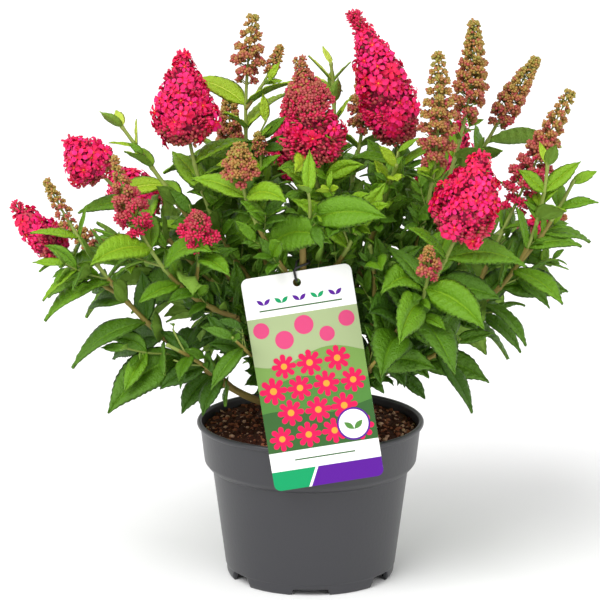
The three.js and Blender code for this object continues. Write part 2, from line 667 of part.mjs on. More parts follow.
// A closed loop: out of the label's hole, over its top edge, round the front bough and down behind the label.
function tieSolid() {
  const { radius, sides, steps } = TIE;
  const reach = BOUGH.tipRadius + radius + 1.2;
  const onLabel = (x, y, z) => new THREE.Vector3(x, y, z).applyMatrix4(labelFrame);
  const nearBough = (x, y, z) => tieMiddle.clone().add(point([x, y, z]));
  const spots = [
    onLabel(0, 1.2, 0),
    onLabel(-0.4, 5, 2.2),
    onLabel(0.5, 10, 1.8),
    nearBough(reach * 0.75, -reach * 0.75, 0),
    nearBough(reach, 0, 0.3),
    nearBough(reach * 0.75, reach * 0.75, 0.5),
    nearBough(0, reach, 1),
    nearBough(-reach * 0.75, reach * 0.75, 0.5),
    nearBough(-reach, 0, -1),
    onLabel(-0.5, 5, -2.4),
  ];
  const loop = new THREE.CatmullRomCurve3(spots, true);
  return solidOf(new THREE.TubeGeometry(loop, steps, radius, sides, true));
}

// ---- the whole ----
const finishes = {
  pot: { color: 0x55565a, roughness: 0.42 },
  mix: { color: 0x2c1a12, roughness: 0.95 },
  wood: { color: 0x8b7a45, roughness: 0.7 },
  foliage: { color: 0x3f7a2c, roughness: 0.55 },
  label: { color: 0xf2f2f0, roughness: 0.3 },
  tie: { color: 0x151516, roughness: 0.4 },
};

const plant = new THREE.Group();
function add(name, finish, solid) {
  const mesh = new THREE.Mesh(geometryOf(solid), new THREE.MeshStandardMaterial(finishes[finish]));
  mesh.name = name;
  plant.add(mesh);
}

const curves = new Map(BOUGHS.map((row) => [row[0], boughCurve(row)]));
const shoots = SHOOTS.map((row, number) => {
  const shoot = shootOf(row, number, curves);
  curves.set(shoot.name, shoot.curve);
  return shoot;
});
function boughOf({ on }) {
  const carrier = shoots.find(({ name }) => name === on);
  return carrier ? boughOf(carrier) : on;
}
const masses = BOUGHS.map(([name], number) => {
  const curve = curves.get(name);
  const forks = shoots.filter(({ on }) => on === name).map(({ at }) => at);
  const end = Math.min(...forks) - BOUGH.beforeFork;
  const mine = shoots.filter((shoot) => boughOf(shoot) === name);
  return { name, curve, end, leader: leaderOf(curve, end, number), shoots: mine };
});

add("pot", "pot", potSolid());
add("potting_mix", "mix", mixSolid());
const trunk = trunkSolid();
add("trunk", "wood", trunk);
const trunkRoom = trunk.scale([TRUNK.clearance, TRUNK.clearance, 1]).translate([0, 0, CLEAR]);
for (const { name, curve, end } of masses) {
  const solidPart = stretch(curve, 0, end - CLEAR / curve.getLength());
  const bough = limb(solidPart, UP, boughRadius(0), boughRadius(end), BOUGH.sides);
  add(`bough_${name}`, "wood", bough.subtract(trunkRoom).asOriginal().simplify(FINEST));
}
const boughBalls = masses.map(({ curve, end }) =>
  ballsOf(stretch(curve, 0, end), 12, () => BOUGH.rootRadius),
);
for (const mass of masses) {
  const others = masses.filter((other) => other !== mass).map((other) => massBalls(other));
  add(`foliage_${mass.name}`, "foliage", massSolid(mass, others, boughBalls));
}
add("label", "label", labelSolid());
add("label_tie", "tie", tieSolid());

export default plant;
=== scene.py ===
"""A dwarf butterfly bush in flower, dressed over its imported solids.

Lengths are in millimetres until a mesh is made. The boughs, shoots and leaves grow by the rule that the
solids grow by, and go on to finer twigs, buds and florets.
"""
import math
from itertools import combinations
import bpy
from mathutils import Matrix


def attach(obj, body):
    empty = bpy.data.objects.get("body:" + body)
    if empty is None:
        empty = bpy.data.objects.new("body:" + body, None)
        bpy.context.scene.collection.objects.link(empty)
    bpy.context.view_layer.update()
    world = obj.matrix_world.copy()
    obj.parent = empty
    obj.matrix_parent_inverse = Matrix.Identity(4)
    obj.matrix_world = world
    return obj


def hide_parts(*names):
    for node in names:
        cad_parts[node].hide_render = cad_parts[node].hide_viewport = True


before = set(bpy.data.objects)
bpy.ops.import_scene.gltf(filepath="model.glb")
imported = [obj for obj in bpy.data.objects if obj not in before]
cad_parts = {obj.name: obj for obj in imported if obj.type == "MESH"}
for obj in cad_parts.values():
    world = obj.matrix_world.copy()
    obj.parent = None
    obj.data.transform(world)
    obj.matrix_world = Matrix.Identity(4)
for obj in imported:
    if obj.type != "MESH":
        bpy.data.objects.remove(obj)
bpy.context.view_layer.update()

from types import SimpleNamespace as Named

import bpy
import numpy as np
from mathutils import Vector
from mathutils.geometry import tessellate_polygon
from numpy.linalg import norm

# ---- driving dimensions, as in the solids ----
MM = 0.001
POT = Named(
    rim=85, height=119, collar_height=32, collar_foot=79.2, body_top=73.3, body_foot=63.7,
    foot=61.4, foot_height=8.5, wall=1.5, pad=14,
)
SLOT = Named(angles=(0, 120, 240), bottom=29, top=29, height=4.6)
GAP = Named(angles=(57, 180, 303), bottom=22.5, top=18, height=7.9)
DRAIN = Named(count=6, radius=4, ring=40)
MIX = Named(edge=113, crown=116, flat=22, gap=0.35)
CLEAR = 0.3
TRUNK = Named(height=21, foot=17, waist=12.5, top=9, lobes=5, lobe_depth=0.09)
BOUGH = Named(root=3.1, tip=2.4, sag=0.07, before_fork=0.04, starts=((8, 10), (5.6, 17)))
STEM = Named(root=2.4, tip=1.4)
TWIG = Named(root=1.2, tip=1.0, share=0.09, below=0.72, above=3.2, length=0.6, leaf_size=0.62)
CROWN = Named(left=-214, right=211, bottom=120)
LEAF = Named(
    old=80, young=41, low=190, high=410, width=0.4, widest=0.42, internode=21,
    sizes=(1, 0.9, 0.8, 0.7, 0.6, 0.5), lift=0.9, shortest=18, leader_size=0.5, divide=30,
    opening=(46, 68), droop=(1.5, 0.25), stray=0.4, lengths=(0.88, 1.12), droops=(0.7, 1.2),
)
# How much the leaves of a leafy tip close up, shrink and stiffen, and by which power of the share.
LEAFY_TIP = ((0.25, 2), (0.5, 4), (0.7, 3))
# Room round the pot and the label, and what each kind keeps to another mass and to any limb or head.
KEEP_OFF = Named(pot=3, beside_label=3, past_label=4, leaf=(0.4, 1.1), twig=(2, 3), tuft=(1, 1))
# A leaf's upper side looks between its stem, the sky and the broad side of the bush that is near it.
FACE = Named(stem=0.4, sky=0.4, broad=0.6, side=400, front=35)
LABEL = Named(
    width=80, length=157, thickness=0.8, corner=5, hole_radius=3, hole_depth=8,
    hole=(-10, -75.5, 241), roll=9.2, lean=4.75,
)
TIE = Named(
    radius=0.9, middle=(-5.8, -70.4, 254.5), room=10,
    through_hole=((-0.5, 5, -2.4), (0, 1.2, 0), (-0.4, 5, 2.2), (0.5, 10, 1.8)),
    round_bough=(
        (0.75, -0.75, 0), (1, 0, 0.3), (0.75, 0.75, 0.5), (0, 1, 1), (-0.75, 0.75, 0.5), (-1, 0, -1),
    ),
)

# Boughs: (name, start azimuth on the trunk, tier, end).
BOUGHS = [
    ("left_low", 200, 0, (-77, -45, 169)),
    ("left_mid", 236, 0, (-54, -55, 210)),
    ("front", 266, 0, (-6, -74, 272)),
    ("right_front", 310, 0, (54, -60, 191)),
    ("right_low", 350, 0, (84, -20, 192)),
    ("back_right", 38, 0, (70, 55, 195)),
    ("back", 88, 0, (0, 75, 200)),
    ("back_left", 140, 0, (-55, 55, 195)),
    ("left_high", 190, 1, (-48, -5, 211)),
    ("mid_left", 120, 1, (-29, 20, 217)),
    ("mid_right", 55, 1, (31, 35, 209)),
    ("right_high", 345, 1, (61, 5, 205)),
    ("mid", 265, 1, (6, 0, 221)),
]

# Shoots: (name, the bough or shoot that it grows on, share of the way along that, point it passes half way,
#          tip, head, head length, head width, leaf size, turn of its first leaf pair).
SHOOTS = [
    ("left_spike", "left_low", 1, (-140, -48, 228), (-192, -35, 308), "bud", 34, 16, 1, 10),
    ("left_bloom", "left_spike", 0.47, (-174, -35, 247), (-217, -20, 287), "bloom", 44, 30, 0.7, 60),
    ("left_foot", "left_low", 0.66, (-76, -66, 176), (-104, -80, 196), "leafy", 8, 6, 0.55, 30),
    ("left_red", "left_mid", 1, (-108, -62, 251), (-141, -62, 331), "half", 52, 36, 1, 30),
    ("left_small_red", "left_red", 0.26, (-80, -78, 266), (-82, -92, 296), "half", 36, 36, 0.8, 0),
    ("left_front_foot", "left_mid", 0.66, (-46, -76, 190), (-56, -98, 206), "leafy", 8, 6, 0.75, 60),
    ("left_ball", "left_high", 0.86, (-118, -6, 270), (-177, -12, 333), "bloom", 44, 44, 0.95, 45),
    ("left_leafy", "left_high", 1, (-95, 0, 279), (-141, 8, 342), "leafy", 10, 8, 0.9, 0),
    ("side_left_spike", "left_high", 0.68, (-118, 32, 220), (-188, 52, 256), "bud", 40, 20, 0.95, 0),
    ("left_big_bloom", "mid_left", 0.8, (-78, 0, 288), (-93, 5, 393), "bloom", 70, 54, 1, 20),
    ("tall_spike", "mid_left", 1, (-47, 22, 312), (-42, 25, 419), "bud", 48, 30, 1, 0),
    ("tall_side", "tall_spike", 0.68, (-32, 20, 374), (-22, 22, 397), "bud", 26, 14, 1, 0),
    ("small_back_bud", "tall_spike", 0.22, (-36, 8, 298), (-39, 0, 336), "bud", 20, 14, 0.7, 0),
    ("front_spike", "front", 0.72, (-42, -74, 291), (-50, -85, 342), "bud", 40, 32, 0.95, 0),
    ("front_leafy", "front", 1, (-1, -88, 290), (-2, -100, 312), "leafy", 10, 8, 1.1, 90),
    ("front_right_leafy", "front", 0.68, (22, -63, 256), (38, -90, 298), "leafy", 10, 8, 1.1, 50),
    ("centre_bloom", "mid", 1, (4, -22, 312), (-8, -35, 395), "half", 80, 62, 1, 0),
    ("centre_leafy", "mid", 0.84, (17, 25, 308), (15, 35, 382), "leafy", 12, 9, 0.9, 45),
    ("top_bloom", "mid_right", 1, (65, 22, 306), (31, 10, 422), "bloom", 104, 50, 1, 80),
    ("inner_right_leafy", "mid_right", 0.8, (50, -12, 275), (62, -40, 320), "leafy", 10, 8, 1.1, 20),
    ("right_spike_front", "right_high", 0.82, (86, -25, 292), (91, -35, 400), "bud", 86, 34, 1, 0),
    ("right_spike_tall", "right_high", 1, (107, 20, 314), (120, 25, 414), "bud", 84, 34, 1, 30),
    ("side_right_red", "right_high", 0.68, (124, 34, 226), (192, 52, 262), "half", 40, 32, 0.95, 40),
    ("right_spike_back", "back_right", 0.86, (122, 52, 300), (167, 45, 382), "bud", 76, 30, 1, 0),
    ("back_right_bloom", "back_right", 1, (94, 88, 258), (115, 118, 322), "bloom", 60, 46, 1, 0),
    ("back_right_leafy", "back_right", 0.68, (102, 95, 205), (150, 142, 232), "leafy", 12, 8, 1, 45),
    ("right_leafy", "right_low", 1, (148, -28, 238), (172, -30, 324), "leafy", 12, 9, 0.9, 30),
    ("right_leafy_side", "right_leafy", 0.55, (174, -22, 272), (192, -20, 305), "leafy", 8, 7, 0.85, 45),
    ("right_spike_low", "right_leafy", 0.2, (146, -10, 275), (190, 0, 367), "bud", 88, 36, 0.9, 20),
    ("right_foot", "right_low", 0.68, (84, -44, 176), (108, -62, 196), "leafy", 8, 7, 0.85, 70),
    ("right_front_bloom", "right_front", 1, (95, -85, 258), (121, -98, 341), "bloom", 70, 58, 1.05, 45),
    ("right_small_red", "right_front", 0.8, (76, -88, 222), (83, -108, 274), "half", 28, 26, 1, 10),
    ("right_inner_leafy", "right_front", 0.7, (46, -58, 228), (42, -74, 268), "leafy", 8, 7, 1.1, 70),
    ("right_front_foot", "right_front", 0.6, (42, -74, 176), (52, -98, 196), "leafy", 8, 7, 0.95, 0),
    ("back_spike", "back", 0.86, (34, 96, 290), (42, 98, 372), "bud", 70, 30, 1, 20),
    ("back_bloom", "back", 1, (-8, 112, 265), (-14, 140, 334), "bloom", 62, 48, 1, 0),
    ("back_leafy", "back", 0.68, (16, 130, 205), (24, 186, 236), "leafy", 12, 8, 1, 45),
    ("back_left_spike", "back_left", 0.84, (-58, 78, 275), (-62, 96, 350), "bud", 60, 28, 1, 0),
    ("back_left_bloom", "back_left", 1, (-108, 84, 240), (-152, 94, 292), "bloom", 52, 42, 0.95, 30),
    ("back_left_leafy", "back_left", 0.68, (-80, 104, 198), (-112, 152, 234), "leafy", 12, 8, 1, 60),
]

# A head's outline: half width at its foot, slope there, how much it falls and by which power, and the tip's.
HEAD_FORMS = {
    "bloom": (0.6, 2.2, 1, 3.2, 0.3),
    "half": (0.65, 2.2, 1, 1.25, 0.16),
    "bud": (0.6, 2.0, 0.78, 1.4, 0.24),
}

# ---- sizes of what only this scene makes ----
SLIM = 0.9  # how much slimmer the round stems are than the faceted ones that they replace
TUFT = Named(
    share=0.12, length=(5, 13), leaf=(13, 27), pairs=2, above=1.5, root=0.7, tip=0.5,
    opening=(28, 52), stray=0.6, lengths=(0.75, 1.1), shortest=7,
)
INNER = Named(step=9, length=(12, 30), leaf=(19, 36), pairs=3, above=0)  # fine twigs inside the crown
CORE = Named(middle=(5, 0, 232), reach=(102, 108, 90))  # the part of the crown that shows no sky
FLORET = Named(
    across=13, room=140, each=4, ball=6.5,  # room: a cluster's share of its head's surface, mm2
    foot=0.3, few=0.1, most=0.84,  # the share of the clusters that is open: few at the foot, most above it
    stand=(0.7, 1.08), sizes=(0.74, 1.08), smaller=(1.04, 0.8), lift=(-0.3, 1.2), stray=0.5,
)
BUD = Named(young=3.4, ripe=6.0, each=9, room=16, lengths=(0.88, 1.1), tones=0.9)
# Spacing of the pairs of bud clusters: at a head's foot, above open florets, on a slim head, and at a tip.
NODES = Named(base=6.6, close=5, slim=0.45, tip=2.3)
FORKED = 11  # the half width from which a head's bud clusters are on forked stalks
FORKS = ((0, 1), (-0.4, 0.8), (0.4, 0.8))  # turn and length of a forked stalk's branches
# The dense inside of an open head: `share` is of the head's width.
HEART = Named(share=0.76, row=2.4, columns=30, rough=(0.68, 1.05))
# The share of a head, from its foot, that is in open florets: for each kind, and for the heads that differ.
OPEN = {"bloom": 1, "half": 0.34, "bud": 0}
OPEN_HERE = {
    "top_bloom": 0.9, "left_bloom": 0.88, "centre_bloom": 0.4,
    "left_red": 0, "left_small_red": 0, "right_small_red": 0,
}
# The part of its solid that a head's flowers fill, where it isn't all: from, to, and share of the width.
FILLED = {
    "left_big_bloom": (0.1, 1, 0.95),
    "top_bloom": (0.1, 1, 0.94),
    "left_ball": (0.05, 0.96, 0.94),
    "right_front_bloom": (0.1, 0.96, 0.9),
}
# How ripe the buds are at a head's foot and at its tip, from 0 for green to 1 for about to open: likewise.
RIPE = {"bloom": (1, 0.85), "half": (1, 0.38), "bud": (0.52, 0.14)}
RIPE_HERE = {
    "right_spike_low": (0.9, 0.15),
    "front_spike": (0.5, 0.2),
    "right_small_red": (0.6, 0.25),
    "left_red": (0.9, 0.2),
    "left_small_red": (0.95, 0.6),
}


# ---- vectors and curves ----
UP = np.array([0.0, 0.0, 1.0])
DOWN = -UP
FULL_TURN = 6.3  # just over a full turn, for random spins


def lerp(a, b, share):
    return a + (b - a) * share


def unit(v):
    return v / norm(v, axis=-1, keepdims=True)


def square_to(vector, direction):
    """The part of a vector that is square to a unit direction, made one long."""
    return unit(vector - direction * np.sum(vector * direction, axis=-1, keepdims=True))


def turned(vector, axis, angle):
    """The vector turned about a unit axis by an angle in radians."""
    c, s = math.cos(angle), math.sin(angle)
    return vector * c + np.cross(axis, vector) * s + axis * np.dot(axis, vector) * (1 - c)


def draw(*keys):
    """A repeatable draw from 0 to 1 for any whole-number keys, the same as in the solids."""
    h = 2166136261
    for key in keys:
        h = ((h ^ (key + 101)) * 16777619) & 0xFFFFFFFF
        h ^= h >> 15
        h = (h * 2246822519) & 0xFFFFFFFF
        h ^= h >> 13
    return h / 4294967296


class Curve:
    """A quadratic Bezier curve, or the stretch of one between two shares of its way."""

    def __init__(self, start, bend, tip, lo=0.0, hi=1.0):
        self.start, self.bend, self.tip, self.lo, self.hi = start, bend, tip, lo, hi

    def at(self, share):
        t = np.asarray(lerp(self.lo, self.hi, share))[..., None]
        return (1 - t) ** 2 * self.start + 2 * t * (1 - t) * self.bend + t**2 * self.tip

    def along(self, share):
        t = np.asarray(lerp(self.lo, self.hi, share))[..., None]
        return unit((1 - t) * (self.bend - self.start) + t * (self.tip - self.bend))

    def part(self, lo, hi):
        ends = lerp(self.lo, self.hi, np.array([lo, hi]))
        return Curve(self.start, self.bend, self.tip, *ends)

    def length(self):
        spots = Curve(self.start, self.bend, self.tip).at(np.linspace(0, 1, 201))
        return norm(np.diff(spots, axis=0), axis=1).sum() * (self.hi - self.lo)


def curve_through(start, via, tip):
    """The curve from start to tip that passes through `via` half way."""
    return Curve(start, 2 * via - (start + tip) / 2, tip)


# ---- boughs and shoots ----
def bough_radius(share):
    return lerp(BOUGH.root, BOUGH.tip, share)


def bough_curve(azimuth, tier, tip):
    reach, above = BOUGH.starts[tier]
    turn, end = math.radians(azimuth), np.array(tip, float)
    start = np.array([reach * math.cos(turn), reach * math.sin(turn), MIX.crown + CLEAR + above])
    chord = end - start
    sag = square_to(DOWN, unit(chord)) * norm(chord) * BOUGH.sag
    return curve_through(start, start + chord / 2 + sag, end)


def shoot_of(row, number, curves):
    name, on, at, via, tip, head, head_length, head_width, size, turn = row
    curve = curve_through(curves[on].at(at), np.array(via, float), np.array(tip, float))
    out = unit(np.array([tip[0], tip[1], 0.0]))
    head_start = 1 if head == "leafy" else 1 - head_length / curve.length()
    return Named(
        name=name, on=on, at=at, keys=[number], curve=curve, out=out, kind="shoot",
        across=turned(out, UP, math.radians(turn)), root=STEM.root, tip=STEM.tip, size=size,
        head=head, head_width=head_width, head_start=head_start,
    )


def leader_of(bough, end, number):
    """The part of a bough that its mass grows from."""
    curve = bough.part(end, 1)
    return Named(
        keys=[number, 77], curve=curve, across=np.cross(UP, curve.along(0.5)), size=LEAF.leader_size,
        head_start=1, kind="leader", root=bough_radius(end), tip=bough_radius(1),
    )


def plan():
    """The masses of foliage: for each bough its curve, where its own limb ends, its leader and its shoots."""
    curves = {name: bough_curve(azimuth, tier, tip) for name, azimuth, tier, tip in BOUGHS}
    on_bough = {name: name for name in curves}
    shoots = []
    for number, row in enumerate(SHOOTS):
        shoot = shoot_of(row, number, curves)
        curves[shoot.name] = shoot.curve
        on_bough[shoot.name] = on_bough[shoot.on]
        shoots.append(shoot)
    masses = []
    for number, (name, *_) in enumerate(BOUGHS):
        end = min(shoot.at for shoot in shoots if shoot.on == name) - BOUGH.before_fork
        mine = [shoot for shoot in shoots if on_bough[shoot.name] == name]
        leader = leader_of(curves[name], end, number)
        masses.append(Named(name=name, curve=curves[name], end=end, leader=leader, shoots=mine))
    return masses


# ---- leaves and their rule ----
def half_width(length, share, blunt=0.9):
    bend = math.log(0.5) / math.log(LEAF.widest)
    return length * LEAF.width * np.maximum(0, np.sin(np.pi * np.asarray(share, float) ** bend)) ** blunt / 2


def leaf_at(root, leaves, face, length, droop):
    """A leaf from `root`, leaving in direction `leaves` and drooping, with its upper side towards `face`."""
    elbow = root + leaves * length / 2
    end = unit(leaves + DOWN * droop)
    curve = Curve(root, elbow, elbow + end * length / 2)
    return Named(curve=curve, across=unit(np.cross(face, leaves)), length=length)


def height_share(z):
    return np.clip((z - LEAF.low) / (LEAF.high - LEAF.low), 0, 1)


def youth(share, z):
    """How young a leaf is, from 0 at the foot of the bush to 1 at the tip of a shoot at its top."""
    return share / 2 + height_share(z) / 2


def face_of(spot, along, leaves, roll):
    """Where a leaf's upper side looks."""
    right, back = np.clip([spot[0] / FACE.side, (spot[1] - LEAF.divide) / FACE.front], -1, 1)
    broadside = np.array([right, back, 0])
    face = square_to(along, leaves) * FACE.stem + UP * FACE.sky + broadside * FACE.broad
    return turned(square_to(face, leaves), leaves, roll)


def is_leafy(stem):
    """True for a stem that has leaves up to its tip."""
    return stem.head_start == 1 and stem.kind != "leader"


def node_shares(stem):
    """Where the pairs of leaves are along a stem."""
    first, last = (0.9, 0.99) if is_leafy(stem) else (0.55, stem.head_start - 0.02)
    internode = LEAF.internode * (0.7 if stem.kind == "twig" else 1)
    pairs = max(1, math.floor(stem.curve.length() * stem.head_start / internode + 0.5))
    steps = [(k + first + 0.25 * (draw(*stem.keys, k, 1) - 0.5)) / pairs for k in range(pairs)]
    return [lerp(0.06, last, min(step, 1)) for step in steps]


def leaf_way(stem, share, k, side, stray, opening):
    """Where a leaf of the k-th pair starts: its spot, and the ways along its stem, away from it, and between
    them by the opening in degrees. Each pair is a quarter turn from the last."""
    spot, along = stem.curve.at(share), stem.curve.along(share)
    wide = square_to(stem.across, along)
    angle, opening = k * math.pi / 2 + side * math.pi + stray, math.radians(opening)
    away = wide * math.cos(angle) + np.cross(wide, along) * math.sin(angle)
    return spot, along, away, along * math.cos(opening) + away * math.sin(opening)


def growth(stem):
    """The seeded rule of growth along a stem: opposite pairs of leaves, and in the angle of some leaves a
    twig that grows on by the same rule, or a finer tuft, which the solids don't have."""
    for k, share in enumerate(node_shares(stem)):
        closing, shrinking, stiffening = (
            1 - most * share**power if is_leafy(stem) else 1 for most, power in LEAFY_TIP
        )
        for side in (0, 1):
            keys = [*stem.keys, k, side]
            pick = [draw(*keys, what) for what in range(12)]
            opening = lerp(*LEAF.opening, pick[3]) * closing
            spot, along, away, leaves = leaf_way(stem, share, k, side, LEAF.stray * (pick[2] - 0.5), opening)
            age = youth(0 if stem.kind == "leader" else share, spot[2])
            grown = lerp(LEAF.old, LEAF.young, age) * stem.size
            yield "leaf", Named(
                root=spot - leaves * stem.tip / 2, along=along, leaves=leaves, age=age, tone=pick[8],
                length=grown * shrinking * lerp(*LEAF.lengths, pick[4]),
                droop=lerp(*LEAF.droop, age) * lerp(*LEAF.droops, pick[5]) * stiffening,
                face=face_of(spot, along, leaves, pick[7] - 0.5),
            )
            if stem.kind != "twig" and share < TWIG.below and pick[6] < TWIG.share:
                yield "twig", twig_of(spot, along, away, grown * TWIG.length, keys, stem.size)
            elif pick[9] < TUFT.share:
                yield "tuft", tuft_of(spot, along, away, pick[10], age, keys, TUFT)


def climbing(root, climb, length):
    """A curve that leaves its stem in the direction `climb` and bends up."""
    middle = root + climb * length / 2
    return Curve(root, middle, middle + unit(lerp(climb, UP, 0.3)) * length / 2)


def twig_of(spot, along, away, length, keys, size):
    """A twig that climbs beside its stem from just above a leaf."""
    curve = climbing(spot + along * TWIG.above, along * 0.72 + away * 0.69, length)
    return Named(
        keys=keys, curve=curve, across=np.cross(along, away), size=size * TWIG.leaf_size,
        head_start=1, kind="twig", root=TWIG.root, tip=TWIG.tip,
    )


def tuft_of(spot, along, away, pick, age, keys, rule):
    """A finer shoot: a few small leaves close together."""
    curve = climbing(spot + along * rule.above, unit(along * 0.8 + away * 0.6), lerp(*rule.length, pick))
    return Named(
        keys=keys, curve=curve, across=np.cross(along, away), size=lerp(1, 0.75, age), kind="tuft",
        root=TUFT.root, tip=TUFT.tip, leaf=lerp(*rule.leaf, pick), pairs=rule.pairs, age=age * 0.8,
    )


def tuft_leaves(tuft):
    """The leaves of a tuft: opposite pairs, the last one at its tip."""
    for k in range(tuft.pairs):
        for side in (0, 1):
            pick = [draw(*tuft.keys, k, side, what) for what in range(20, 24)]
            stray, opening = TUFT.stray * (pick[0] - 0.5), lerp(*TUFT.opening, pick[1])
            spot, along, _, leaves = leaf_way(tuft, (k + 1) / tuft.pairs, k, side, stray, opening)
            yield Named(
                root=spot - leaves * 0.3, along=along, leaves=leaves, droop=0.3 + 0.5 * pick[2],
                length=tuft.leaf * tuft.size * lerp(*TUFT.lengths, pick[3]) * (1 if k else 0.8),
                face=face_of(spot, along, leaves, pick[2] - 0.5), age=tuft.age, tone=pick[3],
            )


def inner_tufts(limb, keys):
    """Fine leafy twigs all round a limb, where it is inside the core of the crown."""
    count = int(limb.length() / INNER.step)
    for k in range(count):
        share = (k + 0.5) / count
        spot, along = limb.at(share), limb.along(share)
        if norm((spot - CORE.middle) / CORE.reach) <= 1:
            wide = square_to(UP + [0.3, 0.1, 0], along)
            angle = 2.4 * k + 6 * draw(*keys, 80)
            away = wide * math.cos(angle) + np.cross(along, wide) * math.sin(angle)
            yield tuft_of(spot, along, away, draw(*keys, k, 81), 0, [*keys, k, 82], INNER)


# ---- room ----
def balls_of(curve, count, radius_at):
    """A limb as a string of balls, one a row: its middle and its radius."""
    shares = np.linspace(0, 1, count + 1)
    return np.column_stack([curve.at(shares), [radius_at(t) for t in shares]])


def head_outline(kind, u):
    """A head's half width at a share of its length from its foot, as a share of its greatest."""
    foot, slope, fall, power, tip = HEAD_FORMS[kind]
    return np.maximum(np.minimum(1, foot + slope * u) * (1 - fall * u**power), tip)


def shoot_balls(shoot):
    def radius(share):
        if share <= shoot.head_start:
            return STEM.root
        u = (share - shoot.head_start) / (1 - shoot.head_start)
        return shoot.head_width / 2 * head_outline(shoot.head, u)

    return balls_of(shoot.curve, 24, radius)


def mass_balls(mass):
    leader = balls_of(mass.curve.part(mass.end, 1), 6, lambda t: BOUGH.tip)
    return np.concatenate([leader, *(shoot_balls(shoot) for shoot in mass.shoots)])


def gap_to(balls, spots):
    if not len(balls):
        return np.full(len(spots), np.inf)
    return (norm(spots[:, None] - balls[None, :, :3], axis=2) - balls[:, 3]).min(axis=1)


def label_axes():
    """The label's own axes as the columns of a matrix: right, up the label, and out of its face."""
    x, y, _ = axes = np.eye(3)
    lean, roll = math.radians(90 - LABEL.lean), math.radians(-LABEL.roll)
    return np.column_stack([turned(turned(axis, x, lean), y, roll) for axis in axes])


LABEL_AXES = label_axes()


def is_open(spots):
    """True where leaves may be at all these points: off the pot, the mix, the label and its tie."""
    spots = np.atleast_2d(spots)
    x, y, z = spots.T
    right, up, out = ((spots - LABEL.hole) @ LABEL_AXES).T
    off_tie = norm(spots - TIE.middle, axis=1) >= TIE.room
    off_pot = (z >= POT.height + KEEP_OFF.pot) | (np.hypot(x, y) >= POT.rim + KEEP_OFF.pot)
    inside = (z >= CROWN.bottom) & (x >= CROWN.left) & (x <= CROWN.right)
    beside = np.abs(right) > LABEL.width / 2 + KEEP_OFF.beside_label
    past = (up > LABEL.hole_depth + KEEP_OFF.past_label) | (up < -LABEL.length) | (out < -KEEP_OFF.past_label)
    return bool(np.all(off_tie & off_pot & inside & (beside | past)))


def is_own(spots, room, margin, off):
    """True where points are nearer this mass's stems than any other's, and off every limb and head."""
    spots = np.atleast_2d(spots)
    mine = gap_to(room.own, spots)
    free = gap_to(room.others, spots) > np.maximum(mine + margin, off)
    return bool(np.all(free & (gap_to(room.heads, spots) > off) & (gap_to(room.boughs, spots) > off)))


def leaf_lines(blade, shares):
    """A leaf's midrib and its two edges at shares of its length."""
    spots = blade.curve.at(shares)
    wide = square_to(blade.across, blade.curve.along(shares)) * half_width(blade.length, shares)[:, None]
    return spots, spots - wide, spots + wide


def blade_triangles(blade):
    _, left, right = leaf_lines(blade, np.array([0.12, LEAF.widest, 0.75, 1]))
    first = np.stack([left[:-1], right[:-1], left[1:]], axis=1)
    second = np.stack([right[:-1], right[1:], left[1:]], axis=1)
    return np.stack([first, second], axis=1).reshape(-1, 3, 3)


def pierce(a, b):
    """True where an edge of one of the triangles in `a` passes through one in `b`."""
    start = a.reshape(-1, 1, 3)
    span = np.roll(a, -1, axis=1).reshape(-1, 1, 3) - start
    first, second = (b[:, 1] - b[:, 0])[None], (b[:, 2] - b[:, 0])[None]
    across = np.cross(span, second)
    size = np.sum(first * across, axis=2)
    size = np.where(np.abs(size) < 1e-9, np.inf, size)
    away = start - b[None, :, 0]
    up = np.cross(away, first)
    u = np.sum(away * across, axis=2) / size
    v = np.sum(span * up, axis=2) / size
    t = np.sum(second * up, axis=2) / size
    return bool(np.any((u >= 0) & (v >= 0) & (u + v <= 1) & (t > 0) & (t < 1)))


def crosses(triangles, room):
    near = norm(room.triangles[:, 0] - triangles[0, 0], axis=1) < 2 * LEAF.old
    other = room.triangles[near]
    return len(other) > 0 and (pierce(triangles, other) or pierce(other, triangles))


def fit_leaf(leaf, room, shortest=LEAF.shortest):
    """A leaf, made smaller until it keeps to its mass's room and touches no limb, head or other leaf."""
    if not is_open(leaf.root):
        return None
    for scale in LEAF.sizes:
        if leaf.length * scale < shortest:
            return None
        lifted = unit(leaf.leaves + leaf.along * (1 - scale) * LEAF.lift)
        face = square_to(leaf.face, lifted)
        blade = leaf_at(leaf.root, lifted, face, leaf.length * scale, leaf.droop * scale)
        spots = np.concatenate(leaf_lines(blade, np.array([0.3, 0.5, 0.7, 0.85, 1])))
        if is_open(spots) and is_own(spots, room, *KEEP_OFF.leaf):
            triangles = blade_triangles(blade)
            if not crosses(triangles, room):
                room.triangles = np.concatenate([room.triangles, triangles])
                blade.age, blade.tone = leaf.age, leaf.tone
                return blade
    return None


def fits_twig(curve, room):
    spots = curve.at(np.linspace(0, 1, 5))
    return is_open(spots) and is_own(spots[2:], room, *KEEP_OFF.twig)


def grow(stem, end, room, plant):
    """Adds a stem, its leaves, its twigs and their leaves to the plant's lists. Tufts wait until the end."""
    nodes = [share / end for share in node_shares(stem)]
    plant.stems.append(Named(curve=stem.curve.part(0, end), stem=stem, nodes=nodes))
    for kind, part in growth(stem):
        if kind == "leaf":
            blade = fit_leaf(part, room)
            if blade:
                blade.spray = draw(*stem.keys, 50)
                plant.blades.append(blade)
        elif kind == "twig" and fits_twig(part.curve, room):
            grow(part, 1, room, plant)
        elif kind == "tuft":
            plant.tufts.append(part)


